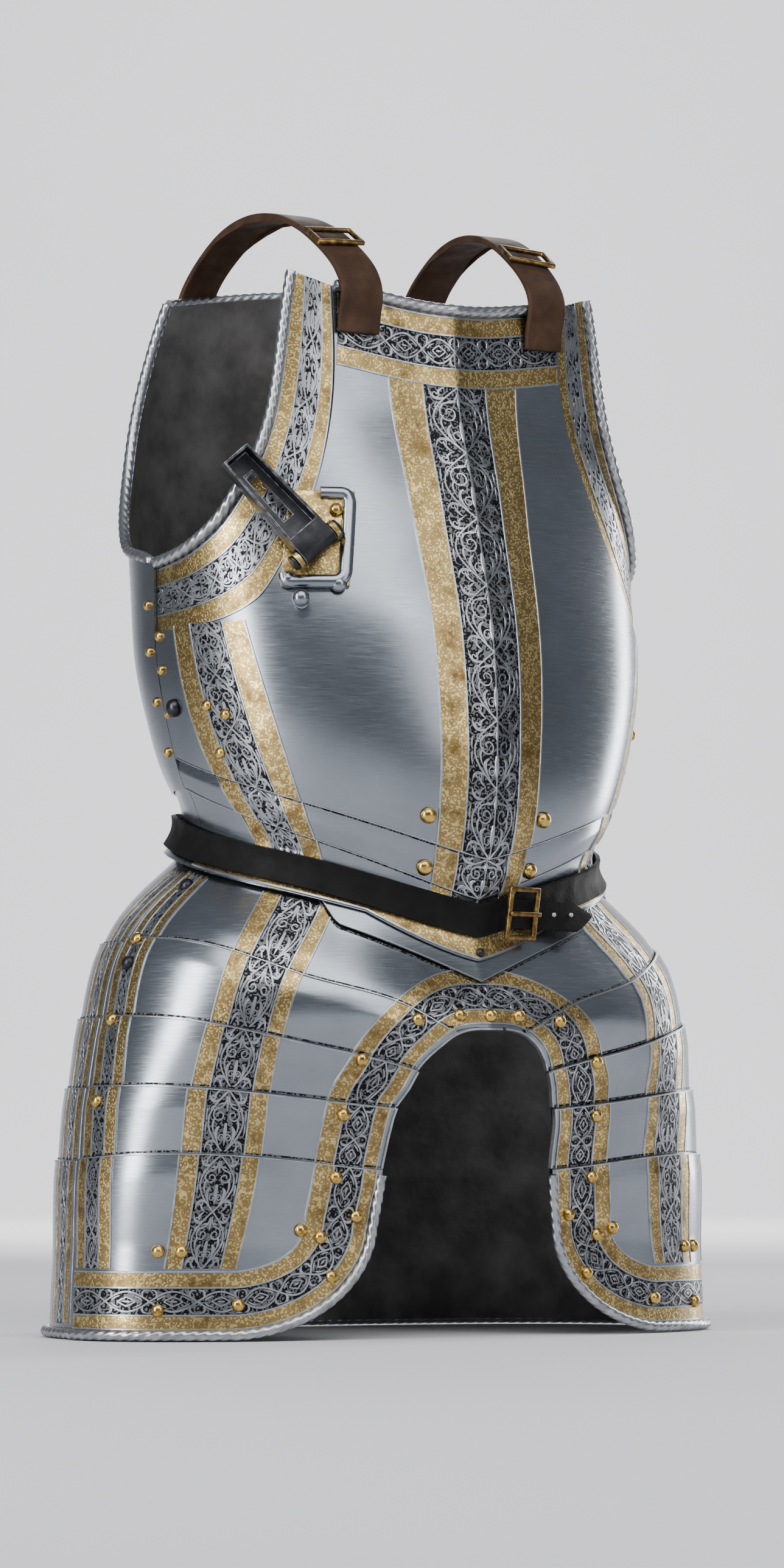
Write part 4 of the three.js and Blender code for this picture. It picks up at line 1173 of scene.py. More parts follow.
def scroll_strokes(half, length, stem, leaf):
    """One compartment of the moresque in shares of half width and length: stems, volutes and leaves."""
    t = np.linspace(0, 1, 22)
    round_size = min(half * 0.34, length * 0.17)
    strokes = [
        (np.stack([0.84 * np.sin(np.pi * t), t], axis=1), np.full(22, stem)),
        (volute((0.34, 0.40), round_size, -95, 1.35, half, length), np.linspace(stem, stem * 0.7, 20)),
        (bezier([(0.03, 0.10), (0.12, 0.26), (0.34, 0.40 - round_size / length)], 8),
         np.full(8, stem * 0.9)),
        (bezier([(0.30, 0.58), (0.62, 0.66), (0.22, 0.90)]), leaf_width(12, leaf)),
        (bezier([(0.52, 0.44), (0.74, 0.54), (0.50, 0.72)], 10), leaf_width(10, leaf * 0.7)),
        (bezier([(0.46, 0.17), (0.86, 0.24), (0.92, 0.03)]), leaf_width(12, leaf * 0.95)),
        (bezier([(0.46, 0.83), (0.86, 0.76), (0.92, 0.97)]), leaf_width(12, leaf * 0.95)),
        (bezier([(0.66, 0.13), (0.60, 0.04), (0.40, 0.00)], 8), leaf_width(8, leaf * 0.7)),
        (bezier([(0.66, 0.87), (0.60, 0.96), (0.40, 1.00)], 8), leaf_width(8, leaf * 0.7)),
        (bezier([(0.92, 0.30), (0.98, 0.42), (0.93, 0.50)], 6), leaf_width(6, leaf * 0.6)),
        (bezier([(0.93, 0.52), (0.98, 0.60), (0.92, 0.72)], 6), leaf_width(6, leaf * 0.6)),
        (bezier([(0.08, 0.22), (0.30, 0.20), (0.40, 0.24)], 8), leaf_width(8, leaf * 0.6)),
        (volute((0.17, 0.76), round_size * 0.55, 200, 1.2, half, length, 14), np.full(14, stem * 0.7)),
        (volute((0.62, 0.30), round_size * 0.45, 60, -1.2, half, length, 14), np.full(14, stem * 0.7)),
        (volute((0.70, 0.86), round_size * 0.42, 120, 1.2, half, length, 14), np.full(14, stem * 0.7)),
        (volute((0.72, 0.12), round_size * 0.42, 240, -1.2, half, length, 14), np.full(14, stem * 0.7)),
    ]
    mirrored = [(points * np.array([-1, 1]), widths) for points, widths in strokes]
    middle = [
        (bezier([(0, 0.52), (0, 0.70), (0, 0.88)]), leaf_width(12, leaf * 1.15)),
        (bezier([(0, 0.14), (0, 0.24), (0, 0.34)], 8), leaf_width(8, leaf * 0.8)),
    ]
    return strokes + mirrored + middle


def chain_strokes(half, length, stem, leaf):
    """One link of a guilloche: crossing stems round a diamond with curls."""
    t = np.linspace(0, 1, 18)
    strokes = [
        (np.stack([0.78 * np.sin(np.pi * t), t], axis=1), np.full(18, stem)),
        (bezier([(0.0, 0.30), (0.22, 0.40), (0.36, 0.50)], 6), np.full(6, stem * 0.8)),
        (bezier([(0.36, 0.50), (0.22, 0.60), (0.0, 0.70)], 6), np.full(6, stem * 0.8)),
        (bezier([(0.38, 0.14), (0.88, 0.20), (0.90, 0.02)], 10), leaf_width(10, leaf * 0.8)),
        (bezier([(0.38, 0.86), (0.88, 0.80), (0.90, 0.98)], 10), leaf_width(10, leaf * 0.8)),
        (bezier([(0.10, 0.16), (0.36, 0.22), (0.46, 0.36)], 8), leaf_width(8, leaf * 0.55)),
        (bezier([(0.10, 0.84), (0.36, 0.78), (0.46, 0.64)], 8), leaf_width(8, leaf * 0.55)),
    ]
    mirrored = [(points * np.array([-1, 1]), widths) for points, widths in strokes]
    return strokes + mirrored + [(bezier([(0, 0.42), (0, 0.50), (0, 0.58)], 6), leaf_width(6, leaf * 0.7))]


def ornament(band, strokes_for, repeat):
    """Fills a band with repeated compartments of etched strokes."""
    stem = min(sizes().stem / MM, band.width * 0.10)
    leaf = min(sizes().leaf / MM, band.width * 0.19)
    count = max(1, round(band.length / repeat))
    parts = []
    margin = 0.93
    for index in range(count):
        for points, widths in strokes_for(band.width / 2, band.length / count, stem, leaf):
            s = 0.5 + 0.5 * margin * points[:, 0]
            t = np.clip((index + points[:, 1]) / count, 0.0, 1.0)
            parts.append(ribbon(band.at(s, t), band.normal(s, t), widths, LEAF_RISE, 0.2, 0.62))
    return parts


class Trim:
    """Collects the gilt, ground, fillet and leaf parts of one plate's bands."""

    def __init__(self):
        self.gilt = []
        self.ground = []
        self.leaves = []
        self.bright = []

    def gold(self, band):
        self.gilt.append(strip_slab(band, GOLD_RISE))

    def fillets(self, band, shares):
        width = sizes().fillet / MM
        for s in shares:
            self.bright.append(line_along(band, s, width))

    def etched(self, band, strokes_for, repeat):
        self.ground.append(strip_slab(band, GROUND_RISE))
        self.leaves.extend(ornament(band, strokes_for, repeat))

    def striped(self, band, gold_share, strokes_for=scroll_strokes, repeat=46):
        """Gold, etched and gold strips side by side with fillets between them."""
        self.gold(band.part(0, gold_share))
        self.etched(band.part(gold_share, 1 - gold_share), strokes_for, repeat)
        self.gold(band.part(1 - gold_share, 1))
        self.fillets(band, (0, gold_share, 1 - gold_share, 1))

    def border(self, bands, repeat):
        """The three bands beside an edge: gold, etched and gold, with fillets on the gold ones."""
        inner, middle, outer = bands
        self.gold(inner)
        self.etched(middle, chain_strokes, repeat)
        self.gold(outer)
        self.fillets(inner, (0, 1))
        self.fillets(outer, (0, 1))

    def build(self, name):
        for suffix, parts, material, slot in (
            ("gilding", self.gilt, gilt_material(), "gilt_steel"),
            ("etched_ground", self.ground, ground_and_lap_shadow_material(), "dark_steel"),
            ("etched_leaves", self.leaves, leaf_material(), "polished_steel"),
            ("fillets", self.bright, bright_material(), "polished_steel"),
        ):
            if parts:
                finish_piece(mesh_from_parts(f"{name}_{suffix}", parts), material, (), slot, BODY, 30)


def flat_lift(offset):
    return lambda angle, height: np.full(np.shape(angle), float(offset))


def table_curve(pairs):
    """Angle by height from a few pairs of height and angle."""
    pairs = sorted(pairs)
    return natural_curve([p[0] for p in pairs], [p[1] for p in pairs])


# Half width of the middle band round the body, by height
MIDDLE_HALF = table_curve([
    (265, 45), (200, 42), (125, 38), (65, 36), (25, 34.5), (-7, 34), (-46, 31), (-70, 29)])
# Edge angles of the side band on the torso, by height
TORSO_BAND_REAR = table_curve([(120, 82.5), (110, 82), (59, 79), (25, 75), (4, 71), (-6, 69), (-40, 65)])
TORSO_BAND_FRONT = table_curve([(117, 63), (63, 57), (23, 53), (3, 51), (-17, 49), (-45, 47)])
# Edge angles of the band down the skirt, by height
SKIRT_BAND_REAR = table_curve([(-46, 62.7), (-127, 65), (-161, 68), (-201, 69.5), (-259, 71.6)])
SKIRT_BAND_FRONT = table_curve([(-58, 44), (-98, 48.7), (-131, 52), (-162, 55), (-201, 57.5), (-262, 61.8)])
NECK_DROP = 47.0
SIDE_BAND_TOP = 113.0


def middle_lay(top, foot):
    """The middle band between two height lines, s from the wearer's right to the left."""
    levels = np.linspace(320, -120, 45)
    widths = MIDDLE_HALF(np.clip(levels, -70, 275))
    edge_angles = angle_at_width(widths, levels)

    def lay(s, t):
        share = 2 * s - 1
        height = lerp(top(0.0), foot(0.0), t)
        for _ in range(2):
            angle = share * np.interp(-height, -levels, edge_angles)
            height = lerp(top(angle), foot(angle), t)
        return angle, height
    return lay


def side_lay(side, rear, front, top, foot, steady=0.0):
    """A band between a rear and a front edge curve, from a top line to a foot line."""
    middle_angle = 60.0
    middle = (float(top(middle_angle)) + float(foot(middle_angle))) / 2

    def lay(s, t):
        s = s if side < 0 else 1 - s
        rough = lerp(top(middle_angle), foot(middle_angle), t)
        for _ in range(2):
            level = lerp(rough, middle, steady)
            angle = lerp(rear(level), front(level), s)
            rough = lerp(top(angle), foot(angle), t)
        return side * angle, rough
    return lay


class CUIRASS_OT_torso_bands(bpy.types.Operator):
    """Lays the etched and gilt bands on the breastplate, waist and gussets"""
    bl_idname = "cuirass.torso_bands"
    bl_label = "Torso Bands"

    def execute(self, context):
        def neck_line(angle):
            share = np.minimum(np.abs(angle) / 47, 1) ** 2
            return lerp(BREAST_ROWS[-1, 0], BREAST_ROWS[-1, 2], share) * TORSO

        # Neck band: it runs across, so t runs from the wearer's right to left and s from the foot up
        trim = Trim()

        def neck_lay(s, t):
            angle = lerp(-45.5, 45.5, t)
            return angle, neck_line(angle) - lerp(NECK_DROP, 4.5, s)
        trim.striped(measured(neck_lay, flat_lift(0)), 0.26, chain_strokes, 26)

        def neck_foot(angle):
            return neck_line(angle) - NECK_DROP - 0.5

        plates = (
            (neck_foot, lambda a: breast_edge(a) + 0.3, flat_lift(0)),
            (lambda a: breast_edge(a) - 0.6, lambda a: lace_edge(a) + 0.3, offset_on(waist_lame_stations)),
            (lambda a: lace_edge(a) - 0.6, lambda a: waist_height(a) + 4, offset_on(flange_stations)),
        )
        for index, (top, foot, lift) in enumerate(plates):
            band = measured(middle_lay(top, foot), lift)
            trim.striped(band, 0.235 if index == 0 else 0.215, scroll_strokes, 44)
            trim.bright.append(line_along(band, 0.5, 1.1, 0.62))
            for side in BOTH:
                side_top = (lambda a: np.full(np.shape(a), SIDE_BAND_TOP)) if index == 0 else top
                lay = side_lay(side, TORSO_BAND_REAR, TORSO_BAND_FRONT, side_top, foot)
                trim.striped(measured(lay, lift), 0.27, scroll_strokes, 40)
        trim.build("breast")

        for label, side in SIDES:
            gusset = Trim()
            lay = gusset_place(side)

            def across(s, t):
                share = s if side < 0 else 1 - s
                return lay(lerp(0.10, 0.97, share), t)
            band = measured(across, flat_lift(GUSSET_OFFSET))
            gusset.striped(band, 0.27, scroll_strokes, 30)
            gusset.build(f"{label}_gusset")
        return {"FINISHED"}


def edge_curve():
    """The inner edge from the arch's crown round the hem corner to the side, evenly spaced."""
    top = np.linspace(0.0, ARCH_FOOT[0], 90)
    turn = np.linspace(0.0, np.pi / 2, 60)[1:]
    share = np.cos(turn) ** (2 / HEM_POWER)
    corner_angle = HEM_CORNER - share * (HEM_CORNER - ARCH_FOOT[0])
    corner_height = ARCH_FOOT[1] * SKIRT + (HEM - ARCH_FOOT[1] * SKIRT) * np.sin(turn) ** (2 / HEM_POWER)
    hem = np.linspace(HEM_CORNER, FRONT_EDGE, 40)[1:]
    angle = np.concatenate([top, corner_angle, hem])
    height = np.concatenate([arch_height(top), corner_height, np.full(hem.shape, HEM)])
    points = body_point(angle, height)
    run = run_along(points)
    marks = np.linspace(0, run[-1], 420)
    return marks, np.interp(marks, run, angle), np.interp(marks, run, height)


def border_field():
    """Functions from a run along the edge and a distance from it to angle and height."""
    marks, angle, height = edge_curve()
    width = degree_width(angle, height)
    east = np.gradient(angle, marks) * width
    north = np.gradient(height, marks)
    size = np.hypot(east, north)
    kernel = np.ones(25) / 25
    out_east = np.convolve(np.pad(-north / size, 12, "edge"), kernel, "valid")
    out_north = np.convolve(np.pad(east / size, 12, "edge"), kernel, "valid")
    length = np.hypot(out_east, out_north)
    out_east, out_north = out_east / length, out_north / length
    out_east[0], out_north[0] = 0.0, 1.0

    def place(run, distance):
        a = np.interp(run, marks, angle) + distance * np.interp(run, marks, out_east / width)
        h = np.interp(run, marks, height) + distance * np.interp(run, marks, out_north)
        return np.minimum(a, FRONT_EDGE), h
    return marks[-1], place


# Angles of the outer and inner edge of the side borders on the tassets and on the rear skirt
FRONT_BORDER = (87.6, 80.0)
REAR_BORDER = (99.0, 91.6)
# Distances of the border's three strips from the arch's edge
BORDER_STRIPS = ((3.4, 11.5), (11.5, 27.5), (27.5, 36.5))


def border_bands(side, field, index):
    """The bands of the border on one plate: index -1 is the arch lame, 0 to 3 the tasset lames."""
    total, place = field
    runs = np.linspace(0, total, 500)

    def cross(distance, line):
        """The run at which the border at a distance passes under a lame's upper edge."""
        angle, height = place(runs, np.full(runs.shape, distance))
        below = height < line(angle) - 0.4
        hit = int(np.argmax(below))
        return runs[hit] if below.any() else total
    bands = []
    for near, far in BORDER_STRIPS:
        shares = np.linspace(0, 1, 9)
        distances = lerp(near, far, shares)
        if index < 0:
            start = np.zeros(9)
            end = np.array([cross(d, lambda a: lame_line(0, a)) + 2 for d in distances])
        else:
            start = np.array([cross(d, lambda a: lame_line(index, a)) for d in distances])
            end = np.full(9, total) if index == 3 else np.array(
                [cross(d, lambda a: lame_line(index + 1, a)) + 2 for d in distances])
        stations = fauld_2_stations if index < 0 else tasset_stations(index)

        def lay(s, t, near=near, far=far, start=start, end=end):
            s = 1 - s if side > 0 else s
            run = lerp(np.interp(s, shares, start), np.interp(s, shares, end), t)
            angle, height = place(run, lerp(near, far, s))
            return side * angle, height
        lift = offset_on(stations)
        bands.append(measured(lay, lambda a, h, lift=lift: lift(np.abs(a), h)))
    return bands


def side_border(side, top, foot, outer, inner):
    """A border down a side edge between two angles, s from the viewer's left."""
    def lay(s, t):
        s = s if side < 0 else 1 - s
        angle = lerp(outer, inner, s)
        return side * angle, lerp(top(angle), foot(angle), t)
    return lay


class CUIRASS_OT_skirt_bands(bpy.types.Operator):
    """Lays the etched and gilt bands and borders on the fauld and the tassets"""
    bl_idname = "cuirass.skirt_bands"
    bl_label = "Skirt Bands"

    def execute(self, context):
        field = border_field()
        fauld = Trim()

        # Gilt border of the flange with its bright turned edge
        def flange_lay(s, t):
            angle = lerp(-86.0, 86.0, t)
            return angle, lerp(flange_edge(angle) + 1.2, waist_height(angle) - 3.0, s)
        flange = measured(flange_lay, offset_on(flange_stations))
        fauld.gold(flange)
        fauld.bright.append(line_along(flange, 0.0, 2.0, 1.0))
        for side in BOTH:
            stations = fauld_2_stations

            def top(a):
                return np.minimum(fauld_edge(a), flange_edge(a)) - 0.8

            def foot(a):
                return lame_line(0, a) + 0.4
            lay = side_lay(side, SKIRT_BAND_REAR, SKIRT_BAND_FRONT, top, foot)
            fauld.striped(measured(lay, offset_on(stations)), 0.23, scroll_strokes, 44)
            border = side_border(side, lambda a: flange_edge(a) - 0.8, foot, *FRONT_BORDER)
            fauld.striped(measured(border, offset_on(stations)), 0.3, chain_strokes, 22)
            fauld.border(border_bands(side, field, -1), 27)
        fauld.build("fauld")

        for label, side in SIDES:
            trim = Trim()
            for index in range(4):
                top = lambda a, index=index: lame_line(index, a) - 0.5
                if index < 3:
                    foot = lambda a, index=index: lame_line(index + 1, a) + 0.4
                else:
                    foot = lambda a: np.full(np.shape(a), HEM + 38.5)
                lift = offset_on(tasset_stations(index))
                lay = side_lay(side, SKIRT_BAND_REAR, SKIRT_BAND_FRONT, top, foot, 0.12)
                trim.striped(measured(lay, lift), 0.23, scroll_strokes, 44)
                trim.border(border_bands(side, field, index), 25)
                border = side_border(side, top, foot, *FRONT_BORDER)
                trim.striped(measured(border, lift), 0.3, chain_strokes, 22)
            trim.build(f"{label}_tasset")
        return {"FINISHED"}


class CUIRASS_OT_rear_bands(bpy.types.Operator):
    """Lays the side borders of the rear skirt"""
    bl_idname = "cuirass.rear_bands"
    bl_label = "Rear Skirt Borders"

    def execute(self, context):
        lines = [float(lame_line(i, 90)) for i in range(4)]
        trim = Trim()
        for side in BOTH:
            for index in range(5):
                def top(a, index=index):
                    if index == 0:
                        return flange_edge(a) - 0.8
                    return np.full(np.shape(a), lines[index - 1] - 0.5)

                def foot(a, index=index):
                    return np.full(np.shape(a), lines[index] + 0.4 if index < 4 else HEM + 5.5)
                border = side_border(side, top, foot, *REAR_BORDER)
                band = measured(border, offset_on(rear_stations(index)))
                trim.striped(band, 0.3, chain_strokes, 22)
        trim.build("rear_skirt")
        return {"FINISHED"}


def edge_line(angle, height, offset, width, rise):
    points = skin(angle, height, offset)
    return ribbon(points, body_normal(angle, height), np.full(len(angle), width), rise, 0.3, 0.55)


class CUIRASS_OT_joints(bpy.types.Operator):
    """Draws every lap between two plates: a raised bead along the edge in light burnished steel, painted
    highlight of the lit edge, and a dark strip beside it, painted shadow of the lap
    """
    bl_idname = "cuirass.joints"
    bl_label = "Lapped Edges"

    def execute(self, context):
        # bright: raised beads along the laps' edges; their light steel is painted highlight of the edge
        # catching the light
        bright = []
        # dark: strips of blackened material beside each edge, on the plate that the edge lies over: painted
        # shadow of the lap
        dark = []
        ring = np.linspace(-89.4, 89.4, 220)
        for line, upper, lower in (
            (breast_edge, lambda a, h: 0 * a, offset_on(waist_lame_stations)),
            (lace_edge, offset_on(waist_lame_stations), offset_on(flange_stations)),
        ):
            edge = line(ring)
            bright.append(edge_line(ring, edge + 0.5, upper(ring, edge + 0.5), 0.9, 0.55))
            dark.append(edge_line(ring, edge - 1.1, lower(ring, edge - 1.1), 1.3, 0.5))
        shown = np.linspace(-50, 50, 140)
        edge = fauld_edge(shown)
        bright.append(edge_line(shown, edge + 0.5, 0 * shown, 0.9, 0.3))
        dark.append(edge_line(shown, edge - 1.1, offset_on(fauld_2_stations)(shown, edge - 1.1), 1.3, 0.5))
        for index in range(4):
            over = fauld_2_stations if index == 0 else tasset_stations(index - 1)
            angle = np.linspace(meet_arch(index) + 0.6, 87.8, 120)
            edge = lame_line(index, angle)
            for side in BOTH:
                top = tasset_stations(index)(angle)[0][1] + 0 * angle
                points = skin(side * angle, edge - 0.6, top)
                normals = body_normal(side * angle, edge)
                bright.append(ribbon(points, normals, np.full(120, 1.2), 0.85, 0.3, 0.5))
                points = skin(side * angle, edge + 1.1, offset_on(over)(angle, edge + 1.1))
                dark.append(ribbon(points, normals, np.full(120, 1.3), 0.55, 0.3, 0.8))
        rear = np.linspace(91.5, 268.5, 200)
        for index in range(1, 5):
            edge = np.full(200, float(lame_line(index - 1, 90)))
            bright.append(edge_line(rear, edge - 0.6, -LAP - LAP_EASE + 0 * rear, 1.1, 0.4))
            dark.append(edge_line(rear, edge + 1.1, -2 * LAP + 0 * rear, 1.4, 0.4))
        finish_piece(mesh_from_parts("lapped_edge_highlights", bright), bright_material())
        finish_piece(mesh_from_parts("lap_shadows", dark), ground_and_lap_shadow_material(), (), "dark_steel")
        return {"FINISHED"}


class CUIRASS_OT_ropes(bpy.types.Operator):
    """Models the roped rims of the neck, the armholes and the skirt"""
    bl_idname = "cuirass.ropes"
    bl_label = "Roped Rims"

    def execute(self, context):
        size = sizes().rope / MM
        pitch = sizes().rope_pitch / MM
        rise = size / 2 - sizes().plate / MM
        s = np.linspace(0.004, 0.996, 120)
        parts = []
        for place in (breast_place, back_place):
            angle, height = place(s, np.zeros(120))
            parts.append(rope(angle, height, rise, size, pitch))
        for side in BOTH:
            angle, height = gusset_place(side)(np.zeros(120), s)
            angle = np.clip(angle, -89.2, 89.2)
            parts.append(rope(angle, height, rise + GUSSET_OFFSET, size, pitch))
            edge = 0.0 if side < 0 else 1.0
            angle, height = back_place(np.full(120, edge), np.linspace(0.0, 0.545, 120))
            parts.append(rope(np.clip(angle, 90.8, 269.2), height, rise, size, pitch))
        finish_piece(mesh_from_parts("torso_roped_rims", parts), bright_material(), (), angle=60)

        hem_size = sizes().hem_rope / MM
        hem_rise = hem_size / 2 - sizes().plate / MM
        _, angle, height = edge_curve()
        last = int(np.argmax(height < lame_line(3, angle) - 3))
        parts = []
        for side in BOTH:
            parts.append(rope(side * angle[last:], height[last:], hem_rise, hem_size, pitch))
        rear = np.linspace(88.5, 271.5, 160)
        parts.append(rope(rear, np.full(160, HEM), hem_rise - 2 * LAP, hem_size, pitch))
        finish_piece(mesh_from_parts("skirt_roped_rims", parts), bright_material(), (), angle=60)

        # Narrow turned beads on the arch's edge above the roped lame
        beads = []
        stretches = [(-1, 0, int(np.argmax(height < lame_line(0, angle))))]
        for index in range(3):
            start = int(np.argmax(height < lame_line(index, angle)))
            stretches.append((index, start, int(np.argmax(height < lame_line(index + 1, angle)))))
        for index, start, end in stretches:
            lift = offset_on(fauld_2_stations if index < 0 else tasset_stations(index))
            a, h = angle[start:end], height[start:end]
            if index < 0:
                a = np.concatenate([-a[::-1], a[1:]])
                h = np.concatenate([h[::-1], h[1:]])
            for side in ((1,) if index < 0 else BOTH):
                points = skin(side * a, h, lift(np.abs(a), h))
                normals = body_normal(side * a, h)
                beads.append(ribbon(points, normals, np.full(len(a), 2.6), 1.1, 1.0, 0.45))
        finish_piece(mesh_from_parts("arch_beads", beads), bright_material(), (), angle=40)
        return {"FINISHED"}


def seat_matrix(angle, height, offset):
    """A local frame on the body: x toward the wearer's left, y up the plate, z outward."""
    out = Vector(body_normal(angle, height))
    up = (Vector((0, 0, 1)) - out * out.z).normalized()
    right = up.cross(out)
    matrix = Matrix((right, up, out)).transposed().to_4x4()
    matrix.translation = Vector(in_frame(skin(angle, height, offset)))
    return matrix


def rivet_head(diameter):
    """A domed head: a sphere cut level, flattened and drawn down to a short foot."""
    deselect()
    bpy.ops.mesh.primitive_uv_sphere_add(segments=20, ring_count=12, radius=diameter / 2)
    head = bpy.context.object
    bpy.ops.object.mode_set(mode="EDIT")
    bpy.ops.mesh.select_all(action="SELECT")
    bpy.ops.mesh.bisect(plane_co=(0, 0, 0), plane_no=(0, 0, 1), clear_inner=True, use_fill=True)
    bpy.ops.mesh.select_all(action="SELECT")
    bpy.ops.transform.resize(value=(1, 1, 0.80))
    bpy.ops.mesh.select_mode(type="FACE")
    bpy.ops.mesh.select_all(action="DESELECT")
    bpy.ops.object.mode_set(mode="OBJECT")
    for face in head.data.polygons:
        face.select = face.normal.z < -0.9
    bpy.ops.object.mode_set(mode="EDIT")
    bpy.ops.mesh.extrude_region_move(TRANSFORM_OT_translate={"value": (0, 0, -0.0006)})
    bpy.ops.object.mode_set(mode="OBJECT")
    return head


def rivets(name, spots, diameter, nodes=(), material=None):
    """Copies of one head at spots of angle, height and offset, joined in one piece."""
    master = rivet_head(diameter)
    copies = []
    for angle, height, offset in spots:
        copy = bpy.data.objects.new(name, master.data.copy())
        bpy.context.collection.objects.link(copy)
        copy.data.transform(seat_matrix(angle, height, offset))
        copies.append(copy)
    bpy.data.objects.remove(master)
    deselect()
    for copy in copies:
        copy.select_set(True)
    bpy.context.view_layer.objects.active = copies[0]
    if len(copies) > 1:
        bpy.ops.object.join()
    piece = bpy.context.object
    piece.name = name
    return finish_piece(piece, material or rivet_material(), nodes, "gilt_steel", angle=50)


# Diameters in metres of the rivets that are not the borders' small ones
BAND_RIVET = 0.010
SIDE_RIVET = 0.007
SIDE_STUD = 0.011
SKIRT_PIN = 0.009
SEAM_RIVET = 0.006
TIP_RIVET = 0.0055
EYELET = 0.0032
REST_SCREW = 0.0085
REST_FOOT = 0.0105
# Small rivets of one side: angle and height
TASSET_RIVETS = (
    (22, -122), (36, -145), (41, -177), (43.5, -214), (38.5, -237), (51, -245), (47, -249), (44.5, -272),
    (61.5, -288), (72.6, -291), (72.7, -257), (69.5, -257), (84.5, -75), (84.5, -122), (84.5, -170),
)


def surface_offset(angle, height):
    """Outer offset of whichever fauld or tasset lame shows at an angle and height."""
    angle = abs(angle)
    for index in (3, 2, 1, 0):
        if height < float(lame_line(index, angle)):
            return float(offset_on(tasset_stations(index))(np.array(angle), np.array(height)))
    return float(offset_on(fauld_2_stations)(np.array(angle), np.array(height)))


class CUIRASS_OT_rivets(bpy.types.Operator):
    """Sets the gilt rivets on the borders, bands and seams"""
    bl_idname = "cuirass.rivets"
    bl_label = "Rivets"

    def execute(self, context):
        small = sizes().rivet
        spots = [(side * a, h, surface_offset(a, h) + GOLD_RISE) for a, h in TASSET_RIVETS for side in BOTH]
        spots += [(a, -0.414 * SKIRT + 8, GOLD_RISE) for a in (-9.5, 0, 9.5)]
        rivets("border_rivets", spots, small)
        node = lambda label: [f"{name}_{label}" for name, _ in SIDES]
        rivets("middle_band_rivets",
               [(side * 18.8, h * TORSO, 0.3) for side in BOTH for h in (-0.005, -0.088)], BAND_RIVET,
               node("band_rivet_upper") + node("band_rivet_lower"))
        rivets("side_band_rivets",
               [(side * a, h * TORSO, 0.3) for side in BOTH
                for a, h in ((73, 0.178), (68, 0.161), (71, 0.1))], SIDE_RIVET,
               node("side_rivet_1") + node("side_rivet_2") + node("side_rivet_3"))
        rivets("side_studs", [(side * 85, 0.18 * TORSO, 0.3) for side in BOTH], SIDE_STUD, node("side_stud"),
               iron_material())
        rivets("skirt_side_pins",
               [(side * 84, -0.13 * SKIRT, -LAP + 0.3) for side in BOTH]
               + [(side * 84, -0.29 * SKIRT, LAP + 0.3) for side in BOTH], SKIRT_PIN,
               node("skirt_pin_1") + node("skirt_pin_2"), iron_material())
        rivets("seam_rivets",
               [(side * 88, h, 0.2) for side in BOTH for h in (62, 88, 108)]
               + [(side * -93, h, 0.2) for side in BOTH for h in (40, 70, 100, 128)], SEAM_RIVET)
        return {"FINISHED"}


def merge_doubles(piece, threshold):
    """Merges a piece's doubled corners and leaves it open for editing."""
    select_only(piece)
    bpy.ops.object.mode_set(mode="EDIT")
    bpy.ops.mesh.select_all(action="SELECT")
    bpy.ops.mesh.remove_doubles(threshold=threshold)


def cad_copy(node, name):
    """A copy of a CAD node's mesh with its doubled corners merged and its flat faces joined."""
    source = frame["nodes"][node]
    piece = bpy.data.objects.new(name, source.data.copy())
    bpy.context.collection.objects.link(piece)
    piece.data.transform(source.matrix_world)
    merge_doubles(piece, 0.00001)
    bpy.ops.mesh.dissolve_limited(angle_limit=math.radians(2))
    bpy.ops.object.mode_set(mode="OBJECT")
    return piece


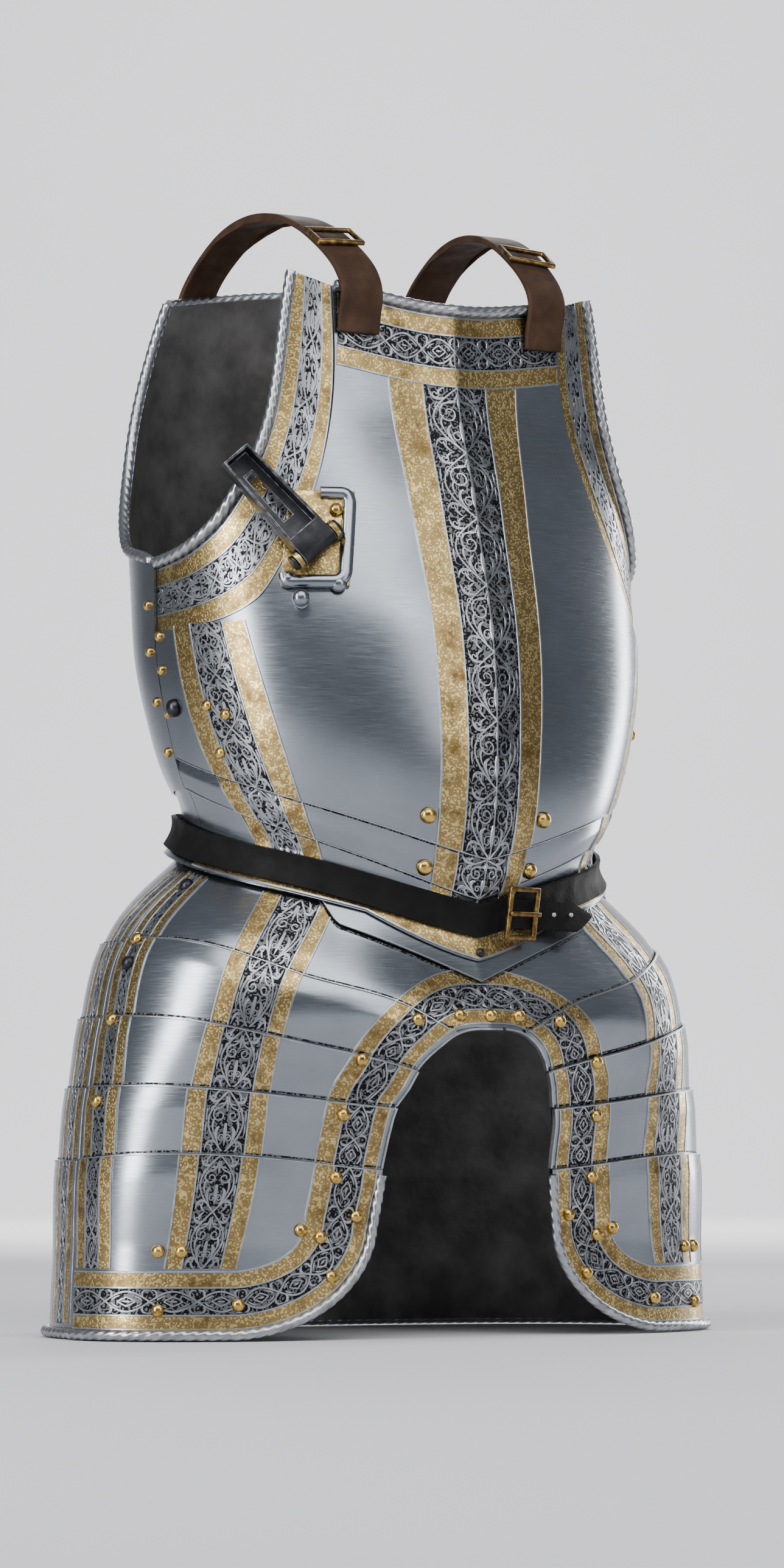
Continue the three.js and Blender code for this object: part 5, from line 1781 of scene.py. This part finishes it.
class CUIRASS_OT_leather(bpy.types.Operator):
    """Models the waist belt, the shoulder straps and their buckles"""
    bl_idname = "cuirass.leather"
    bl_label = "Belt and Straps"

    def execute(self, context):
        width = sizes().belt_width / MM
        thick = sizes().belt_thickness / MM
        outer = LAP + BELT_CLEARANCE + thick

        def belt(s, t):
            angle = -85 + 360 * s
            angle = np.where(angle > 180, angle - 360, angle)
            crown = 0.5 * np.sin(np.pi * t)
            crease = 0.22 * np.sin(np.radians(angle) * 37) * np.sin(np.radians(angle) * 11 + 1)
            wave = 0.5 * np.sin(np.radians(angle) * 5)
            return skin(angle, waist_height(angle) + wave + width * (0.5 - t), outer - 0.5 + crown + crease)
        piece = laid_grid("waist_belt", 400, 10, belt)
        merge_doubles(piece, 0.00002)
        bpy.ops.object.mode_set(mode="OBJECT")
        wall(piece, sizes().belt_thickness * 0.9)
        finish_piece(piece, belt_leather(), ["belt"], "black_leather")

        start = 12.0
        reach = math.degrees(TAIL_LENGTH / FRONT_DEPTHS[0])

        def tail(s, t):
            angle = start + reach * s
            point = np.clip((s - 0.80) / 0.20, 0, 1)
            half = width * 0.47 * (1 - 0.86 * point)
            middle = lerp(waist_height(start), waist_height(angle), 0.2) - 8 * s
            lift = outer + 0.6 + 2.2 * smoothstep(s, 0.0, 0.2) + 2.5 * s
            return skin(angle, middle + half * (1 - 2 * t), lift + 0.3 * np.sin(np.pi * t))
        piece = laid_grid("belt_tail", 48, 10, tail)
        wall(piece, sizes().belt_thickness * 0.8)
        finish_piece(piece, belt_leather(), (), "black_leather")
        eyelets = []
        for share in (0.34, 0.55, 0.76):
            angle = start + reach * share
            centre = lerp(waist_height(start), waist_height(angle), 0.2) - 8 * share
            eyelets.append((angle, centre, outer + 2.9 + 2.5 * share))
        rivets("flange_tip_rivet", [(0.5, float(flange_edge(0.0)) + 5.0, LAP + GOLD_RISE)], TIP_RIVET, (),
               iron_material())
        rivets("belt_eyelets", eyelets, EYELET, (), bright_material())

        for node, name in (
            ("belt_buckle", "belt_buckle_frame"), ("belt_buckle_tongue", "belt_buckle_tongue_bar"),
        ):
            piece = cad_copy(node, name)
            soften(piece, 0.0009)
            finish_piece(piece, brass_material(), [node], "gilt_steel")
        for label, _ in SIDES:
            piece = cad_copy(f"{label}_shoulder_strap", f"{label}_leather_strap")
            soften(piece, 0.0011, 2, angle_limit=1.0)
            apply_modifier(piece, "SUBSURF", levels=2, render_levels=2)
            finish_piece(piece, strap_leather(), [f"{label}_shoulder_strap"], "brown_leather", angle=60)
            piece = cad_copy(f"{label}_shoulder_buckle", f"{label}_strap_buckle")
            soften(piece, 0.0009)
            finish_piece(piece, brass_material(), [f"{label}_shoulder_buckle"], "gilt_steel")
        return {"FINISHED"}


# The arm narrows by this share, from a distance to the hinge and over a run, in metres
TAPER = 0.24
TAPER_START = 0.012
TAPER_RUN = 0.060


def taper_arm(piece):
    """Draws the arm in toward its tip, across the hinge's axis and in depth."""
    across = np.array(FOLD["axis"], float)
    across /= np.linalg.norm(across)
    points = corners(piece) - HINGE
    side = points @ across
    flat = points - side[:, None] * across
    reach = np.linalg.norm(flat, axis=1)
    share = np.clip((reach - TAPER_START) / TAPER_RUN, 0, 1)
    narrowed = side * (1 - TAPER * share ** 1.5)
    set_corners(piece, HINGE + flat + narrowed[:, None] * across)


class CUIRASS_OT_lance_rest(bpy.types.Operator):
    """Models the lance rest, its hinge pin and the ball-headed pin below it"""
    bl_idname = "cuirass.lance_rest"
    bl_label = "Lance Rest"

    def execute(self, context):
        piece = cad_copy("lance_rest_bracket", "rest_bracket")
        soften(piece, 0.0008, angle_limit=0.6)
        finish_piece(piece, gilt_material(), ["lance_rest_bracket"], "gilt_steel")
        piece = cad_copy("lance_rest_arm", "rest_arm")
        piece.data.materials.clear()
        piece.data.materials.append(iron_material())
        piece.data.materials.append(worn_iron_material())
        taper_arm(piece)
        soften(piece, 0.0011, angle_limit=0.6, material=1)
        finish_piece(piece, None, ["lance_rest_arm"], "dark_steel", ARM_BODY)

        per_degree = float(degree_width(REST_ANGLE, REST_LEVEL))

        def on_bracket(x, y, lift):
            return skin(REST_ANGLE + 1 + x / per_degree, REST_LEVEL + y, BRACKET_FACE + lift)

        # Raised steel rim round the inner side, the top corner and the foot, with two lobed ends
        corner = bezier([(10, 34.5), (16.8, 34.5), (16.8, 27)], 8)
        turn = bezier([(16.8, -12), (16.8, -19.5), (9, -19.5)], 8)
        foot = bezier([(-14, -19.5), (-18.5, -19.0), (-18.5, -15)], 6)
        path = np.concatenate([
            [(-2, 34.5), (4, 34.5)], corner, [(16.8, 14), (16.8, 1)], turn, [(0, -19.5), (-9, -19.5)], foot])
        fine = np.stack([np.interp(np.linspace(0, len(path) - 1, 90), np.arange(len(path)), path[:, i])
                         for i in (0, 1)], axis=1)
        points = on_bracket(fine[:, 0], fine[:, 1], 0.6)
        normals = body_normal(REST_ANGLE + 1 + fine[:, 0] / per_degree, REST_LEVEL + fine[:, 1])
        _, side = path_frames(points, normals)
        round_angles = 2 * np.pi * np.arange(12) / 12
        taper = 3.7 + 0.5 * np.sin(np.linspace(0, np.pi, 90))[:, None, None]
        rings = points[:, None, :] + taper * (
            np.cos(round_angles)[None, :, None] * side[:, None, :]
            + 0.72 * np.sin(round_angles)[None, :, None] * normals[:, None, :])
        parts = [(rings.reshape(-1, 3), tube_faces(90, 12))]
        finish_piece(mesh_from_parts("rest_rim", parts), steel_material(), (), angle=60)

        def spots(places, offset):
            return [(REST_ANGLE + 1 + x / per_degree, REST_LEVEL + y, offset) for x, y in places]
        rivets("rest_screws", spots(((8.5, 24), (-9, -8)), BRACKET_FACE), REST_SCREW)
        rivets("rest_feet", spots(((13.0, -20.5), (-16.0, -18.0)), 2.2), REST_FOOT, (), steel_material())
        piece = cad_copy("lance_rest_pin", "rest_pin")
        soften(piece, 0.0004, 2)
        finish_piece(piece, iron_material(), ["lance_rest_pin"], "dark_steel")
        piece = cad_copy("ball_pin", "ball_headed_pin")
        apply_modifier(piece, "SUBSURF", levels=2, render_levels=2)
        finish_piece(piece, steel_material(), ["ball_pin"], angle=60)
        return {"FINISHED"}


CAMERA_DISTANCE = 3.0
CAMERA_TURN = 30.0
CAMERA_LEVEL = -200.0
AIM_LEVEL = 26.0
AIM_SIDE = 0.004
FRAME_HEIGHT = 0.96
SENSOR = 36.0
SWEEP_REACH = 8.0
SWEEP_CURVE = 2.4
# Soft boxes turned to the waist: name, place, width and height in metres, power in watts
LIGHTS = (
    ("left_strip", (-2.2, -0.55, 0.1), (0.5, 2.4), 62),
    ("right_strip", (2.3, 0.5, 0.2), (0.5, 2.2), 48),
    ("front_soft", (0.7, -2.9, 0.5), (0.9, 1.8), 16),
    ("overhead_soft", (-0.7, -1.9, 2.0), (3.2, 2.2), 84),
    ("rear_soft", (1.4, 2.4, 1.5), (1.4, 1.4), 40),
)
# The wash stands behind the cuirass and lights the backdrop
WASH_REACH = 3.4
WASH_LEVEL = 2.2
WASH_TARGET = 7.4
WORLD_COLOUR = (0.56, 0.59, 0.64, 1)
WORLD_STRENGTH = 0.38


def area_light(name, place, target, size, power):
    deselect()
    bpy.ops.object.light_add(type="AREA", location=place)
    light = bpy.context.object
    light.name = name
    light.data.shape = "RECTANGLE"
    light.data.size, light.data.size_y = size
    light.data.energy = power
    light.rotation_euler = (Vector(target) - Vector(place)).to_track_quat("-Z", "Y").to_euler()


class CUIRASS_OT_stage(bpy.types.Operator):
    """Sets the pale floor and backdrop, the soft lights and the camera"""
    bl_idname = "cuirass.stage"
    bl_label = "Stage, Lights and Camera"

    def execute(self, context):
        view = Vector((math.sin(math.radians(CAMERA_TURN)), math.cos(math.radians(CAMERA_TURN)), 0))
        floor_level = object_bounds()[0][2] - 0.0005
        deselect()
        bpy.ops.mesh.primitive_plane_add(size=2 * SWEEP_REACH, location=(0, 0, 0))
        sweep = bpy.context.object
        sweep.name = "studio_sweep"
        for edge in sweep.data.edges:
            edge.select = all(sweep.data.vertices[i].co.y > 0 for i in edge.vertices)
        for corner in sweep.data.vertices:
            corner.select = corner.co.y > 0
        for face in sweep.data.polygons:
            face.select = False
        bpy.ops.object.mode_set(mode="EDIT")
        bpy.ops.mesh.select_mode(type="EDGE")
        bpy.ops.mesh.extrude_region_move(TRANSFORM_OT_translate={"value": (0, 0, SWEEP_REACH)})
        bpy.ops.object.mode_set(mode="OBJECT")
        for edge in sweep.data.edges:
            edge.select = all(
                sweep.data.vertices[i].co.y > 0 and sweep.data.vertices[i].co.z < 0.1 for i in edge.vertices)
        bpy.ops.object.mode_set(mode="EDIT")
        bpy.ops.mesh.bevel(offset=SWEEP_CURVE, segments=16)
        bpy.ops.mesh.select_all(action="SELECT")
        bpy.ops.mesh.normals_make_consistent(inside=False)
        bpy.ops.object.mode_set(mode="OBJECT")
        bpy.ops.object.shade_smooth()
        sweep.rotation_euler = (0, 0, -math.radians(CAMERA_TURN))
        sweep.location = (0, 0, floor_level)
        sweep.data.materials.append(stage_material())
        sweep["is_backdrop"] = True

        middle = (0, 0, WAIST_LEVEL * MM)
        for name, place, size, power in LIGHTS:
            area_light(name, place, middle, size, power)
        wash_place = view * WASH_REACH + Vector((0, 0, WASH_LEVEL))
        area_light("backdrop_wash", tuple(wash_place), tuple(view * WASH_TARGET), (3.0, 1.6), 420)
        world = bpy.data.worlds.new("studio")
        world.use_nodes = True
        background = world.node_tree.nodes["Background"]
        background.inputs[0].default_value = WORLD_COLOUR
        background.inputs[1].default_value = WORLD_STRENGTH
        bpy.context.scene.world = world

        deselect()
        place = -view * CAMERA_DISTANCE
        place.z = (CAMERA_LEVEL + WAIST_LEVEL) * MM
        bpy.ops.object.camera_add(location=place)
        camera = bpy.context.object
        right = Vector((view.y, -view.x, 0))
        target = right * AIM_SIDE + Vector((0, 0, (AIM_LEVEL + WAIST_LEVEL) * MM))
        camera.rotation_euler = (target - place).to_track_quat("-Z", "Y").to_euler()
        camera.data.sensor_width = SENSOR
        camera.data.lens = SENSOR * CAMERA_DISTANCE / FRAME_HEIGHT
        bpy.context.scene.camera = camera
        return {"FINISHED"}


STEPS = (
    CUIRASS_OT_torso, CUIRASS_OT_waist, CUIRASS_OT_skirt, CUIRASS_OT_torso_bands, CUIRASS_OT_skirt_bands,
    CUIRASS_OT_rear_bands, CUIRASS_OT_joints, CUIRASS_OT_ropes, CUIRASS_OT_rivets, CUIRASS_OT_leather,
    CUIRASS_OT_lance_rest, CUIRASS_OT_stage,
)


class CUIRASS_PT_panel(bpy.types.Panel):
    """Lists the pieces of the cuirass in the order in which they are made"""
    bl_idname = "CUIRASS_PT_panel"
    bl_label = "Field Cuirass"
    bl_space_type = "VIEW_3D"
    bl_region_type = "UI"
    bl_category = "Cuirass"

    def draw(self, context):
        column = self.layout.column()
        for group in (context.scene.cuirass_sizes, context.scene.cuirass_colours):
            for name in group.__annotations__:
                column.prop(group, name)
        for step in STEPS:
            column.operator(step.bl_idname)


CLASSES = (CuirassSizes, CuirassColours, *STEPS, CUIRASS_PT_panel)


def register():
    for item in CLASSES:
        bpy.utils.register_class(item)
    bpy.types.Scene.cuirass_sizes = bpy.props.PointerProperty(type=CuirassSizes)
    bpy.types.Scene.cuirass_colours = bpy.props.PointerProperty(type=CuirassColours)


def unregister():
    del bpy.types.Scene.cuirass_colours
    del bpy.types.Scene.cuirass_sizes
    for item in reversed(CLASSES):
        bpy.utils.unregister_class(item)


def main():
    register()
    for step in STEPS:
        group, _, name = step.bl_idname.partition(".")
        getattr(getattr(bpy.ops, group), name)()


if __name__ == "__main__":
    main()
